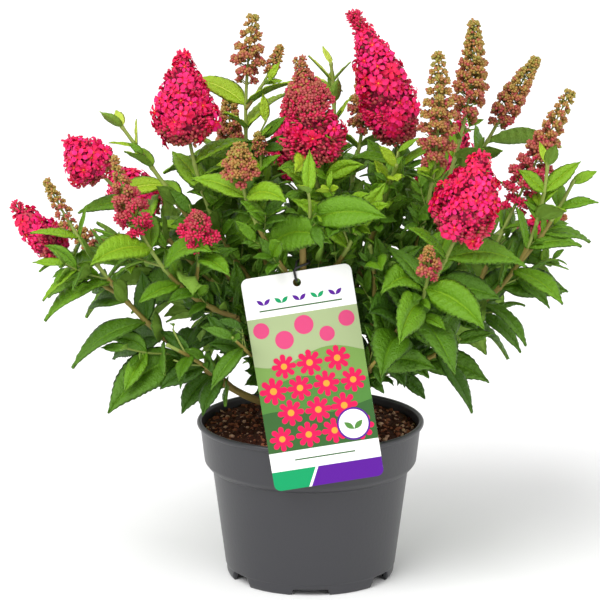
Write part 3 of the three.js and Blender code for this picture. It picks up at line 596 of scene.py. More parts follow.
def grow_tufts(room, plant):
    for tuft in plant.tufts:
        spots = tuft.curve.at(np.array([0.5, 1.0]))
        if not (is_open(spots) and is_own(spots, room, *KEEP_OFF.tuft)):
            continue
        blades = [fit_leaf(leaf, room, TUFT.shortest) for leaf in tuft_leaves(tuft)]
        for blade in filter(None, blades):
            blade.spray = draw(*tuft.keys, 50)
            plant.blades.append(blade)
        if any(blades):
            plant.stems.append(Named(curve=tuft.curve, stem=tuft, nodes=[]))


def grow_mass(mass, others, boughs, number):
    heads = [shoot_balls(shoot)[-6:] for shoot in mass.shoots if shoot.head_start < 1]
    room = Named(
        own=mass_balls(mass), heads=np.concatenate(heads) if heads else np.empty((0, 4)),
        others=np.concatenate(others), boughs=np.concatenate(boughs), triangles=np.empty((0, 3, 3)),
    )
    plant = Named(mass=mass, stems=[], blades=[], tufts=[])
    grow(mass.leader, 1, room, plant)
    for shoot in mass.shoots:
        grow(shoot, min(1, shoot.head_start + 0.04), room, plant)
    grow_tufts(room, plant)
    room.own = np.concatenate([room.own, boughs[number]])
    room.others = np.concatenate([room.others, *boughs[:number], *boughs[number + 1:]])
    plant.tufts = list(inner_tufts(mass.curve.part(0.2, 1), mass.leader.keys))
    for shoot in mass.shoots:
        plant.tufts += inner_tufts(shoot.curve.part(0, min(shoot.head_start, 0.75)), shoot.keys)
    grow_tufts(room, plant)
    return plant


# ---- meshes ----
class Heap:
    """Many small parts gathered into one mesh, with a material slot for each face. A face has four corners,
    and a triangle's last one is -1."""

    def __init__(self):
        self.points, self.faces, self.slots, self.count = [], [], [], 0

    def add(self, points, faces, slots):
        points, faces = points.reshape(-1, 3), faces.reshape(-1, 4)
        self.points.append(points)
        self.faces.append(np.where(faces >= 0, faces + self.count, -1))
        self.slots.append(np.broadcast_to(slots, len(faces)))
        self.count += len(points)

    def piece(self, name, materials, smooth=True):
        points, faces = np.concatenate(self.points) * MM, np.concatenate(self.faces)
        corners = (faces >= 0).sum(axis=1)
        mesh = bpy.data.meshes.new(name)
        mesh.vertices.add(len(points))
        mesh.vertices.foreach_set("co", points.astype(np.float32).ravel())
        mesh.loops.add(int(corners.sum()))
        mesh.loops.foreach_set("vertex_index", faces[faces >= 0].astype(np.int32))
        mesh.polygons.add(len(faces))
        mesh.polygons.foreach_set("loop_start", (np.cumsum(corners) - corners).astype(np.int32))
        mesh.polygons.foreach_set("material_index", np.concatenate(self.slots).astype(np.int32))
        mesh.polygons.foreach_set("use_smooth", np.full(len(faces), smooth))
        mesh.update(calc_edges=True)
        for material in materials:
            mesh.materials.append(material)
        piece = bpy.data.objects.new(name, mesh)
        bpy.context.scene.collection.objects.link(piece)
        return piece


def grid_faces(rows, columns, around=False, first=0):
    """Quads between rows of points. They face out where the columns run anticlockwise about the rows' way."""
    i, j = np.meshgrid(np.arange(rows - 1), np.arange(columns if around else columns - 1), indexing="ij")
    k = (j + 1) % columns
    corners = [i * columns + j, i * columns + k, (i + 1) * columns + k, (i + 1) * columns + j]
    return first + np.stack(corners, axis=-1).reshape(-1, 4)


def halves(quads):
    """Each quad as two triangles that meet between its first and third corners."""
    none = np.full(len(quads), -1)
    first, second = (np.column_stack([quads[:, corners], none]) for corners in ((0, 1, 2), (0, 2, 3)))
    return np.stack([first, second], axis=1).reshape(-1, 4)


def fan_faces(middle, first, count, facing=1):
    """Triangles from a middle point to a ring of `count` points in anticlockwise order, given as indices."""
    ring = first + np.arange(count)
    return np.stack([np.full(count, middle), ring, np.roll(ring, -facing), np.full(count, -1)], axis=1)


def capped_faces(rows, sides):
    """Faces round a limb of rows of points, closed by two more points: one at its foot and one at its tip."""
    count = rows * sides
    ends = [fan_faces(count, 0, sides, -1), fan_faces(count + 1, count - sides, sides)]
    return np.concatenate([grid_faces(rows, sides, around=True), *ends])


def turns(count):
    """Angles spread evenly round a circle."""
    return np.arange(count) * 2 * math.pi / count


def circle(count):
    """Points evenly round a circle with a radius of 1."""
    return np.stack([np.cos(turns(count)), np.sin(turns(count))], axis=1)


def ring_ways(along, wide, sides):
    """Directions evenly round each of some directions along a limb, the first of them `wide`."""
    return circle(sides) @ np.stack([wide, np.cross(along, wide)], axis=1)


def taper(root, tip):
    """The radius of a round limb that narrows evenly, as tube() asks for it."""
    return lambda share, angle: lerp(root, tip, share) + 0 * angle


def tube(heap, curve, across, radius, sides, rings, slots=0):
    """A closed round limb along a curve. `radius` is a function of the share of the way and the angle."""
    shares = np.linspace(0, 1, rings + 1)
    spots, along = curve.at(shares), curve.along(shares)
    reach = radius(shares[:, None], turns(sides)[None])[..., None]
    skin = spots[:, None] + ring_ways(along, square_to(across, along), sides) * reach
    if np.ndim(slots):
        slots = np.repeat([*slots, slots[0], slots[-1]], sides)
    heap.add(np.concatenate([skin.reshape(-1, 3), spots[[0, -1]]]), capped_faces(rings + 1, sides), slots)


def strew(heap, part, spots, facings, spins, sizes, slots):
    """Copies of a small part, each with its +Z along a facing, and its own slot where the part has -1."""
    side = np.where(np.abs(facings[:, 2:3]) < 0.9, UP, np.array([1.0, 0, 0]))
    x = square_to(side, facings)
    y = np.cross(facings, x)
    c, s = np.cos(spins)[:, None], np.sin(spins)[:, None]
    axes = np.stack([x * c + y * s, y * c - x * s, facings], axis=-1) * np.reshape(sizes, (-1, 1, 1))
    points = np.einsum("nij,vj->nvi", axes, part.points) + spots[:, None]
    first = (np.arange(len(spots)) * len(part.points))[:, None, None]
    faces = np.where(part.faces[None] >= 0, part.faces[None] + first, -1)
    own = np.broadcast_to(slots[:, None], (len(spots), len(part.faces)))
    heap.add(points, faces, np.where(part.slots[None] < 0, own, part.slots[None]).ravel())


# ---- leaves ----
GREENS = 6  # tops, from the oldest to the youngest
UNDERSIDE = GREENS
BLADE = Named(
    row=2.3, rows=(6, 34), vein=3, slant=0.2, quilt=1.9, groove=0.8, fold=0.44, curl=0.3, wave=0.05, waves=11,
    thick=0.35, rib=0.9, thin=0.15, teeth=(-0.015, 0.02), hook=0.35, toothed=0.12,
    relief=50, body=60,  # the lengths from which a leaf has its whole relief and its whole thickness
)
FINE = Named(top=(-1, -0.7, -0.38, -0.055, 0, 0.055, 0.38, 0.7, 1), under=(-0.7, -0.38, 0, 0.38, 0.7))
PLAIN = Named(top=(-1, -0.5, 0, 0.5, 1), under=(0,))
SMALL_LEAF = 26  # a shorter leaf than this has fewer points across


def leaf_outline(length, share):
    """A leaf's half width: narrowed to its stalk at the foot and drawn out to its tip."""
    foot = lerp(0.3, 1, np.clip(share / 0.16, 0, 1) ** 0.8)
    tip = 1 - 0.4 * np.clip((share - 0.72) / 0.28, 0, 1)
    return np.maximum(half_width(length, share, 0.8) * 1.06 * foot * tip, 0.012 * length)


def leaf_mesh(heap, blade, slot, width=1.0):
    """A blade with its upper side and underside joined along its edges, open at its foot and tip: folded up
    along its midrib, puckered between its side veins, and toothed.
    """
    length = blade.length
    columns = PLAIN if length < SMALL_LEAF else FINE
    rows = int(np.clip(round(length / BLADE.row), *BLADE.rows))
    shares = np.linspace(0, 1, rows + 1)
    spots, along = blade.curve.at(shares), blade.curve.along(shares)
    wide = square_to(blade.across, along)
    up = np.cross(along, wide)
    half = leaf_outline(length, shares) * width
    half[-1] = 0.1
    is_tooth = (np.arange(rows + 1) % 2 == 1) & (shares > BLADE.toothed)
    relief = min(1, length / BLADE.relief)

    def surface(v):
        v = np.asarray(v, float)[None]
        s, w, side, tooth = shares[:, None], half[:, None], np.abs(v), is_tooth[:, None]
        edge = side > 0.99
        bulge = np.abs(np.sin(math.pi * (s - BLADE.slant * side) * rows / BLADE.vein)) * 4 * side * (1 - side)
        wave = BLADE.wave * np.sin(BLADE.waves * s + blade.tone * 6 + 2 * v) * side**2
        height = w * (BLADE.fold * side - BLADE.curl * side**2 + wave)
        height = height + (bulge * BLADE.quilt - BLADE.groove * (side < 0.05)) * relief
        reach = w * v * (1 + np.where(edge, np.where(tooth, BLADE.teeth[1], BLADE.teeth[0]), 0))
        forward = np.where(edge & tooth, BLADE.hook * length / rows, 0)
        axes = (along, wide, up)
        return spots[:, None] + sum(a[:, None] * b[..., None] for a, b in zip(axes, (forward, reach, height)))

    thick = BLADE.thick + BLADE.rib * (np.abs(columns.under) < 0.05)
    thick = thick * min(1, length / BLADE.body) * lerp(1, BLADE.thin, shares**1.5)[:, None]
    top, under = surface(columns.top), surface(columns.under) - up[:, None] * thick[..., None]
    n, m = len(columns.top), len(columns.under)
    index = np.arange((rows + 1) * n).reshape(rows + 1, n)
    lower = index.size + np.arange((rows + 1) * m).reshape(rows + 1, m)
    lower = np.concatenate([index[:, :1], lower, index[:, -1:]], axis=1)
    beneath = lower.ravel()[grid_faces(rows + 1, m + 2)]
    above = np.roll(grid_faces(rows + 1, n)[:, ::-1], -1, axis=1)
    is_rib = np.abs(np.add(columns.top[:-1], columns.top[1:])) < 0.1
    greens = np.tile(np.where(is_rib, min(slot + 1, GREENS - 1), slot), rows)
    slots = np.repeat([*greens, *[UNDERSIDE] * len(beneath)], 2)
    points = np.concatenate([top.reshape(-1, 3), under.reshape(-1, 3)])
    heap.add(points, halves(np.concatenate([above, beneath])), slots)


def leaf_tone(blade):
    """A leaf's green: by its height and age, and dealt out by spray."""
    stray = 0.16 * (blade.spray - 0.5) + 0.2 * (blade.tone - 0.5)
    tone = 0.5 * height_share(blade.curve.start[2]) + 0.38 * blade.age + stray + 0.11
    return int(np.clip(tone * GREENS, 0, GREENS - 1))


# ---- stems ----
BARK, OLIVE, GREEN = 0, 1, 2
SHORT_STEM = 70  # a shorter stem than this is slimmer


def stem_mesh(heap, limb):
    """A young stem, faintly four-angled, with a swelling at each pair of leaves."""
    stem, curve = limb.stem, limb.curve
    length = curve.length()
    is_thin = stem.kind in ("twig", "tuft")
    rings = max(3, int(length / (3 if is_thin else 1.7)))
    nodes = np.array(limb.nodes or [-1])
    slim = SLIM * (1 if length > SHORT_STEM else 0.75)

    def radius(share, angle):
        swelling = np.exp(-(((share - nodes) * length / 1.6) ** 2)).max(axis=1, keepdims=True)
        relief = (1 + 0.32 * swelling) * (1 + 0.05 * np.cos(4 * angle))
        return lerp(stem.root, stem.tip, share) * slim * relief

    if stem.kind == "leader" or is_thin:
        slots = GREEN if is_thin else BARK
    else:
        shares = (np.arange(rings) + 0.5) / rings
        age = np.array([youth(share, curve.at(share)[2]) for share in shares])
        slots = np.digitize(age + 0.1 * (draw(*stem.keys, 60) - 0.5), (0.16, 0.46))
    tube(heap, curve, stem.across, radius, 6 if is_thin else 8, rings, slots)


def bark_relief(share, angle, length, seed):
    """Shallow furrows along a woody limb that wander and break."""
    run = share * length
    furrow = np.sin(5 * angle + 1.3 * np.sin(run / 9 + seed) + seed)
    plate = np.sin(11 * angle + 2.1 * np.sin(run / 4 + 2 * seed)) * np.sin(run / 3.1 + seed)
    return 1 + 0.045 * furrow + 0.03 * plate


def bark_piece(masses):
    """The trunk and the boughs with the leaders that carry their foliage."""
    heap = Heap()
    foot = np.array([0, 0, MIX.crown + 0.1])
    top = foot + UP * (TRUNK.height + CLEAR)

    def trunk_radius(share, angle):
        flare = (TRUNK.foot - TRUNK.waist) * (1 - share) ** 3
        shoulder = (TRUNK.waist - TRUNK.top) * share**3 + 2.5 * share**24
        lobe = 1 + TRUNK.lobe_depth * np.cos(TRUNK.lobes * angle) * (1 - share * 0.6)
        return (TRUNK.waist + flare - shoulder) * lobe * bark_relief(share, angle, TRUNK.height, 1)

    def bough_radii(length, number):
        swell = 1.3 + number % 3 * 0.1

        def radius(share, angle):
            collar = 1 + swell * np.exp(-share * length / 5)
            return bough_radius(share) * collar * 0.98 * bark_relief(share, angle, length, number)

        return radius

    tube(heap, Curve(foot, (foot + top) / 2, top), np.array([1.0, 0, 0]), trunk_radius, 44, 26)
    for number, mass in enumerate(masses):
        length, across = mass.curve.length(), np.cross(UP, mass.curve.along(0.5))
        tube(heap, mass.curve, across, bough_radii(length, number), 14, int(length / 1.6))
    return heap


# ---- flower heads ----
PETALS = 3
THROAT, EYE, TUBE = PETALS, PETALS + 1, PETALS + 2


def floret_part():
    """One open floret, facing +Z and 1 mm from its middle to its petals' tips: five slender petals with round
    ends, an eye, and a narrow tube."""
    rows = ((0.13, 0.09, 0.0), (0.42, 0.17, 0.07), (0.76, 0.29, 0.06), (0.98, 0.15, -0.04))
    lobe = np.array([(x, side * wide, z + 0.05 * abs(side)) for x, wide, z in rows for side in (-1, 0, 1)])
    petals, first = 5, 5 * len(lobe)
    points = [lobe @ np.array([(c, s, 0), (-s, c, 0), (0, 0, 1)]) for c, s in circle(petals)]
    faces = [grid_faces(len(rows), 3, first=len(lobe) * k)[:, ::-1] for k in range(petals)]
    for radius, z in ((0.13, 0.01), (0.11, -1.0)):
        points.append(np.column_stack([radius * circle(petals), np.full(petals, z)]))
    faces.append(grid_faces(2, petals, around=True, first=first)[:, ::-1])
    faces.append(fan_faces(first + 2 * petals, first, petals))
    slots = np.array(([THROAT] * 2 + [-1] * 4) * petals + [TUBE] * petals + [EYE] * petals)
    return Named(points=np.concatenate([*points, [(0, 0, 0.04)]]), faces=np.concatenate(faces), slots=slots)


CALYX = 0  # the buds' first slot: their calyx
BUD_TONES = 7  # then their tips, from green to pink
HEART_PAINTED_SHADE = 1 + BUD_TONES  # and a darker crimson inside an open head: painted shade between its florets
HEART_TONES = (HEART_PAINTED_SHADE, HEART_PAINTED_SHADE, HEART_PAINTED_SHADE, HEART_PAINTED_SHADE, BUD_TONES - 1, BUD_TONES - 2)


def bud_part(ripe):
    """One bud along +Z from its foot, 1 mm long, slimmer and with a shorter calyx the riper it is."""
    sides, belly = 4, lerp(0.34, 0.15, ripe)
    neck = belly * lerp(0.85, 1.25, ripe)
    rings = ((0.0, belly / 2), (lerp(0.42, 0.3, ripe), belly), (lerp(0.8, 0.84, ripe), neck))
    points = [np.column_stack([radius * circle(sides), np.full(sides, z)]) for z, radius in rings]
    faces = [grid_faces(3, sides, around=True), fan_faces(3 * sides, 2 * sides, sides)]
    slots = np.repeat([CALYX, -1, -1], sides)
    return Named(points=np.concatenate([*points, [(0, 0, 1)]]), faces=np.concatenate(faces), slots=slots)


FLORET_PART = floret_part()
BUD_PARTS = [bud_part(ripe) for ripe in (0, 0.5, 1)]


def head_of(shoot):
    """A flower head's axis, its random numbers, and what this head opens and ripens to."""
    low, high, wide = FILLED.get(shoot.name, (0, 1, 1))
    curve = shoot.curve.part(lerp(shoot.head_start, 1, low), lerp(shoot.head_start, 1, high))
    return Named(
        curve=curve, length=curve.length(), half=shoot.head_width / 2 * wide, kind=shoot.head, out=shoot.out,
        open_to=OPEN_HERE.get(shoot.name, OPEN[shoot.head]), ripe=RIPE_HERE.get(shoot.name, RIPE[shoot.head]),
        random=np.random.default_rng(shoot.keys[0] + 1),
    )


def half_at(head, u):
    """A head's half width at shares of its length."""
    return head.half * head_outline(head.kind, u)


def head_radial(head, u, angle):
    """The axis and the outward direction at shares and angles round a head."""
    along = head.curve.along(u)
    wide = square_to(head.out, along)
    return along, wide * np.cos(angle)[..., None] + np.cross(along, wide) * np.sin(angle)[..., None]


GOLDEN_ANGLE = 2.39996  # from one point of an even spiral to the next, in radians


def spiral(head, low, high, room):
    """Shares and angles that spread points evenly over a head's surface between two shares of its length."""
    u = np.linspace(low, high, 60)
    girth = 2 * math.pi * half_at(head, u)
    area = np.concatenate([[0], np.cumsum((girth[1:] + girth[:-1]) / 2 * np.diff(u) * head.length)])
    count = max(1, int(area[-1] / room))
    return np.interp((np.arange(count) + 0.5) / count * area[-1], area, u), np.arange(count) * GOLDEN_ANGLE


def open_florets(heap, head):
    """Small balls of open florets all over the head's lower part, facing out, and up towards its tip."""
    random = head.random
    u, angle = spiral(head, 0.07, head.open_to - 0.03, FLORET.room)
    above_foot = np.clip(u / FLORET.foot, 0, 1)
    stand = random.uniform(*FLORET.stand, len(u)) * lerp(0.9, 1, above_foot)
    is_out = random.random(len(u)) < lerp(FLORET.few, FLORET.most, above_foot) + u**4 / 2
    u, angle, stand = (np.repeat(each[is_out], FLORET.each) for each in (u, angle, stand))
    count = len(u)
    along, radial = head_radial(head, u, angle)
    reach = half_at(head, u) * stand
    ball = np.minimum(FLORET.ball, reach * 0.6)
    lift = lerp(*FLORET.lift, u**1.5)
    ways = radial * np.cos(lift)[:, None] + along * np.sin(lift)[:, None]
    facings = unit(ways + random.normal(0, FLORET.stray, (count, 3)))
    middles = head.curve.at(u) + radial * (reach - ball)[:, None]
    spots = middles + facings * (ball * random.uniform(0.6, 1.0, count))[:, None]
    sizes = FLORET.across / 2 * random.uniform(*FLORET.sizes, count) * lerp(*FLORET.smaller, u**3)
    spins, petals = random.uniform(0, FULL_TURN, count), random.integers(0, PETALS, count)
    strew(heap, FLORET_PART, spots, facings, spins, sizes, petals)


def lay_buds(heap, head, spots, facings, ripe, sizes=1.0):
    """Buds with their feet at spots. Their length, shape and colour follow how ripe each is."""
    random, count = head.random, len(spots)
    ripe = np.clip(ripe + random.normal(0, 0.08, count), 0, 1)
    lengths = lerp(BUD.young, BUD.ripe, ripe) * sizes * random.uniform(*BUD.lengths, count)
    tones = ripe * BUD_TONES + random.uniform(-BUD.tones, BUD.tones, count)
    tones = np.clip(tones, 0, BUD_TONES - 0.01).astype(int)
    shapes = np.round(ripe * 2).astype(int)
    for shape, part in enumerate(BUD_PARTS):
        mine = shapes == shape
        if mine.any():
            spins = random.uniform(0, FULL_TURN, mine.sum())
            strew(heap, part, spots[mine], facings[mine], spins, lengths[mine], 1 + tones[mine])


def heart(heap, head):
    """The dense inside of an open head, which shows between its florets: mostly a darker crimson as painted
    shade, with some crimson bud tones.
    """
    rows = max(8, int(head.length * head.open_to / HEART.row))
    u, angle = np.meshgrid(np.linspace(0, head.open_to, rows), turns(HEART.columns), indexing="ij")
    _, radial = head_radial(head, u, angle)
    reach = half_at(head, u) * HEART.share * head.random.uniform(*HEART.rough, u.shape)
    reach[0] *= 0.3
    reach[-2:] *= 0.6
    skin = (head.curve.at(u) + radial * reach[..., None]).reshape(-1, 3)
    faces = capped_faces(*u.shape)
    ends = head.curve.at(np.array([0, head.open_to]))
    heap.add(np.concatenate([skin, ends]), faces, head.random.choice(HEART_TONES, len(faces)))


def inner_buds(heap, head):
    """Unopened buds between and behind the open florets, and more of them at the head's foot."""
    foot = spiral(head, 0.0, FLORET.foot, BUD.room / 2.5)
    rest = spiral(head, FLORET.foot, min(1, head.open_to + 0.08), BUD.room)
    u, angle = np.concatenate([foot, rest], axis=1)
    along, radial = head_radial(head, u, angle + 1)
    stray = head.random.normal(0, 0.25, (len(u), 3))
    facings = unit(radial + along * lerp(0.0, 1.2, u)[:, None] + stray)
    reach = half_at(head, u) * head.random.uniform(0.7, 0.98, len(u)) - BUD.ripe
    spots = head.curve.at(u) + radial * np.maximum(reach, 0.5)[:, None]
    lay_buds(heap, head, spots, facings, lerp(0.5, 0.95, np.clip(u / FLORET.foot, 0, 1)))


def stalk(stems, foot, tip, bend, across, root):
    """A thin straight stalk."""
    tube(stems, Curve(foot, lerp(foot, tip, bend), tip), across, taper(root, 0.4), 4, 2, GREEN)


def cluster(heap, head, stems, foot, middle, radius, depth, ripe, climb):
    """A stalk and a round cluster of buds at its end, all pointing away from the stalk's foot, and some way
    along `climb`. `radius` is the cluster's, and `depth` its half length along its stalk."""
    out = unit(middle - foot)
    count = max(8, int(BUD.each * math.sqrt(depth / radius) * radius**1.2 / 3))
    k = np.arange(count) + 0.5
    cap = 1 - 1.45 * k / count
    spin = k * GOLDEN_ANGLE + head.random.uniform(0, 6)
    side = unit(np.cross(climb, out))
    ring = np.sqrt(np.maximum(0, 1 - cap**2))[:, None]
    around = (side * (1.4 * np.cos(spin))[:, None] + np.cross(out, side) * np.sin(spin)[:, None]) * ring
    length = lerp(BUD.young, BUD.ripe, ripe) * 0.8
    across, deep = (max(each - length, 0.2) for each in (radius, depth))
    spots = middle + around * across + out * cap[:, None] * deep + head.random.normal(0, 0.15, (count, 3))
    facings = unit(around + out * (cap[:, None] + 0.4) + climb * 0.25)
    lay_buds(heap, head, spots, facings, np.full(count, ripe), min(1, radius / length * 0.8 + 0.25))
    stalk(stems, foot, middle, 0.6, UP + head.out, 0.55)


def bud_clusters(heap, head, stems):
    """Opposite pairs of bud clusters up the head, each a quarter turn from the last, and one at its tip.
    Where it is wide they are on forked stalks, and where it is narrow they fill it from its axis out."""
    run, k = head.open_to * head.length, 0
    base = min(NODES.close if head.open_to else NODES.base, NODES.slim * head.half)
    while run < head.length - 1.5:
        u = run / head.length
        spot, reach = head.curve.at(u), float(half_at(head, u))
        along, radial = head_radial(head, u, k * math.pi / 2 + 0.3)
        is_forked = reach >= FORKED
        radius = float(np.clip(reach * 0.36, 2.2, 3.5))
        depth = radius if is_forked else max(reach / 2, radius)
        climb = along * reach * lerp(0.3, 0.45, u)
        for side in (radial, -radial):
            side = turned(side, along, head.random.uniform(-0.12, 0.12))
            fork = spot + (side * reach + climb) * 0.45
            for turn, share in FORKS if is_forked else FORKS[:1]:
                middle = spot + turned(side, along, turn) * max(reach * share - depth, 0.4) + climb * share
                foot = fork if turn else spot
                cluster(heap, head, stems, foot, middle, radius, depth, lerp(*head.ripe, u), along)
        run += lerp(base, min(base, NODES.tip), u) * (0.85 + 0.3 * head.random.random())
        k += 1
    tip, along = head.curve.at(1.0), head.curve.along(1.0)
    cluster(heap, head, stems, tip - along * 4, tip - along * 2.2, 2.2, 2.2, head.ripe[1], head.out)


def head_stalks(stems, head):
    """The head's own axis, and stalks to its open florets."""
    tube(stems, head.curve.part(0, 0.97), head.out, taper(1.15, 0.45), 6, max(3, int(head.length / 5)), GREEN)
    count = int(head.length * head.open_to / NODES.base) * 2
    for k in range(count):
        u = (k + 0.5) / count * head.open_to * 0.95
        along, radial = head_radial(head, u, k * math.pi / 2 * 1.07)
        foot, reach = head.curve.at(u), half_at(head, u) * 0.72
        stalk(stems, foot, foot + radial * reach + along * reach * 0.35, 0.5, UP + head.out * 0.5, 0.6)


def bracts(heap, head, keys):
    """Narrow small leaves under the lower bud clusters."""
    for k in range(5):
        u = 0.02 + k * 0.1
        for side in (0, 1):
            along, radial = head_radial(head, u, k * math.pi / 2 + 0.3 + side * math.pi)
            pick = draw(*keys, k, side, 70)
            length = half_at(head, u) * lerp(0.75, 1.0, pick) * lerp(1, 0.6, k / 4)
            leaves = unit(radial + along * lerp(0.5, 1.1, pick))
            blade = leaf_at(head.curve.at(u), leaves, square_to(along, leaves), length, 0.3)
            blade.tone = pick
            leaf_mesh(heap, blade, 3 + int(pick * 2.99), width=0.5)


def dress_head(head, keys, leaves, stems, florets, buds):
    """Everything of one flower head, each kind into its own heap."""
    head_stalks(stems, head)
    if head.open_to:
        open_florets(florets, head)
        heart(buds, head)
        inner_buds(buds, head)
    bud_clusters(buds, head, stems)
    if head.kind != "bloom":
        bracts(leaves, head, keys)


# ---- pot ----
ROUND = Named(columns=240, bend=4, corner=1.1)


def rounded(profile, radius=ROUND.corner):
    """A profile with each of its inner corners rounded off."""
    profile = np.array(profile, float)
    points = [profile[:1]]
    for before, corner, after in zip(profile, profile[1:], profile[2:]):
        first, last = (
            corner + unit(end - corner) * min(radius, norm(end - corner) * 0.45) for end in (before, after)
        )
        points.append(Curve(first, corner, last).at(np.linspace(0, 1, ROUND.bend)))
    return np.concatenate([*points, profile[-1:]])


def wall_profile(inset):
    shelf = POT.height - POT.collar_height
    return [
        (POT.body_foot - inset, POT.foot_height),
        (POT.body_top - inset, shelf - 4.5 + inset),
        (POT.body_top + 3 - inset, shelf - 3 + inset),
        (POT.collar_foot - inset, shelf + 0.8 + inset * 0.4),
        (POT.rim - 2.7 - inset, POT.height - 4.5),
    ]


def around(profile, columns=ROUND.columns):
    """A profile of (radius, height) turned about the Z axis, as rows of points."""
    ring = profile[:, None, :1] * circle(columns)
    return np.concatenate([ring, np.broadcast_to(profile[:, None, 1:], (len(profile), columns, 1))], axis=2)


def foot_lift(points):
    """Points of the foot ring lifted to the top of the opening that they are in."""
    lifted = points.copy()
    turn = np.arctan2(points[..., 0], -points[..., 1])
    for opening in (SLOT, GAP):
        for angle in opening.angles:
            away = np.angle(np.exp(1j * (turn - math.radians(angle))))
            beside = np.abs(away) * POT.foot
            slope = max((opening.bottom - opening.top) / 2, 0.4)
            height = opening.height * np.clip((opening.bottom / 2 - beside) / slope, 0, 1)
            lifted[..., 2] = np.maximum(lifted[..., 2], height)
    return lifted


def prism(heap, outline, low, high, axes, origin, holes=(), slots=0):
    """A flat plate between two heights, with holes through it. `axes` has its own directions as columns."""
    loops = [np.asarray(loop, float) for loop in (outline, *holes)]
    flat = np.concatenate(loops)
    count = len(flat)
    filled = tessellate_polygon([[Vector((x, y, 0)) for x, y in loop] for loop in loops])
    caps = np.array([(a, b, c, -1) for a, b, c in filled])
    a, b, c = (flat[caps[:, i]] for i in range(3))
    turn = (b - a)[:, 0] * (c - a)[:, 1] - (b - a)[:, 1] * (c - a)[:, 0]
    caps = np.where((turn > 0)[:, None], caps, caps[:, [0, 2, 1, 3]])
    under = np.where(caps >= 0, caps + count, -1)[:, [0, 2, 1, 3]]
    walls, first = [], 0
    for loop in loops:
        k = first + np.arange(len(loop))
        after = first + (np.arange(len(loop)) + 1) % len(loop)
        after_x, after_y = np.roll(loop, -1, axis=0).T
        anticlockwise = np.sum(loop[:, 0] * after_y - after_x * loop[:, 1]) > 0
        if anticlockwise != (first == 0):
            k, after = after, k
        walls.append(np.stack([k + count, after + count, after, k], axis=1))
        first += len(loop)
    points = np.concatenate([np.column_stack([flat, np.full(count, z)]) for z in (high, low)])
    heap.add(points @ np.asarray(axes).T + origin, np.concatenate([caps, under, *walls]), slots)


def ring_of(radius, middle=(0, 0), count=24):
    return middle + radius * circle(count)


def lay_lathe(heap, rows):
    """Rows of points round the Z axis as a skin that faces out where the profile runs upwards."""
    heap.add(rows, grid_faces(*rows.shape[:2], around=True), 0)


def pot_piece():
    heap = Heap()
    foot, floor, top = POT.foot, POT.foot_height, POT.height
    inside, ring = floor + POT.wall, foot - 3.5
    lay_lathe(heap, foot_lift(around(rounded([
        (ring, floor), (foot - 2.2, 0), (foot, 0), (foot + 1.4, 3), (POT.body_foot - 0.6, floor - 0.6),
        *wall_profile(0), (POT.rim - 0.8, top - 4), (POT.rim, top - 2.2), (POT.rim - 0.8, top - 0.5),
        (POT.rim - 2.4, top), (POT.rim - 4, top - 1), *wall_profile(POT.wall)[:0:-1],
        (POT.body_foot - POT.wall, inside), (ring, inside),
    ]))))
    holes = [ring_of(DRAIN.radius, drain_middle(i)) for i in range(DRAIN.count)]
    middle = ring_of(POT.pad + 2, count=60)
    prism(heap, ring_of(ring, count=ROUND.columns), floor, inside, np.eye(3), 0, [middle, *holes])
    pad = [
        (0.01, POT.wall), (POT.pad + 0.6, POT.wall), (POT.pad + 3, inside), (POT.pad + 2, floor),
        (POT.pad, 0), (0.01, 0),
    ]
    lay_lathe(heap, around(rounded(pad)[::-1], 60))
    return heap


def drain_middle(i):
    turn = math.radians((i + 0.5) * 360 / DRAIN.count)
    return DRAIN.ring * math.sin(turn), -DRAIN.ring * math.cos(turn)


# ---- potting mix ----
CRUMB = Named(count=2300, parts=4, sizes=(0.5, 2.6), sunk=0.35, pale=0.14, tan=0.44)
MIX_ROWS = 40
MIX_REACH = 80  # the radius at which the dome comes down to its edge


def lumps(x, y):
    """The mix's uneven top, as a height."""
    broad = np.sin(x / 7.3 + 1.1) * np.sin(y / 8.9 + 0.4)
    broad = broad + 0.6 * np.sin((x + y) / 4.3) * np.sin((x - y) / 5.1)
    fine = np.sin(x / 1.7 + 2 * np.sin(y / 2.3)) * np.sin(y / 1.9 + 2 * np.sin(x / 2.9))
    return 0.8 * broad + 0.35 * fine


def mix_height(x, y):
    across = np.hypot(x, y)
    dome = lerp(MIX.crown, MIX.edge, np.clip((across - MIX.flat) / (MIX_REACH - MIX.flat), 0, 1) ** 1.6)
    calm = np.clip((across - TRUNK.foot * 0.9) / 14, 0, 1)
    return dome + (lumps(x, y) - 0.9) * calm


def mix_piece():
    heap = Heap()
    inset = POT.wall + MIX.gap
    walls = np.array(wall_profile(inset)[:4])
    top, shelf = np.array(wall_profile(inset)[4]), walls[3]
    rim = lerp(shelf, top, (MIX.edge - 1.6 - shelf[1]) / (top[1] - shelf[1]))
    bottom = POT.foot_height + POT.wall + MIX.gap
    side = np.array([(0.01, bottom), (POT.body_foot - inset, bottom), *walls[1:], rim])
    lay_lathe(heap, around(side, 180))
    radii = rim[0] * np.linspace(1, 0.003, MIX_ROWS)
    cover = around(np.column_stack([radii, np.zeros(MIX_ROWS)]), 180)
    cover[1:, :, 2] = mix_height(cover[1:, :, 0], cover[1:, :, 1])
    cover[0, :, 2] = rim[1]
    lay_lathe(heap, cover)
    scatter_crumbs(heap, rim[0] - 1.5)
    return heap


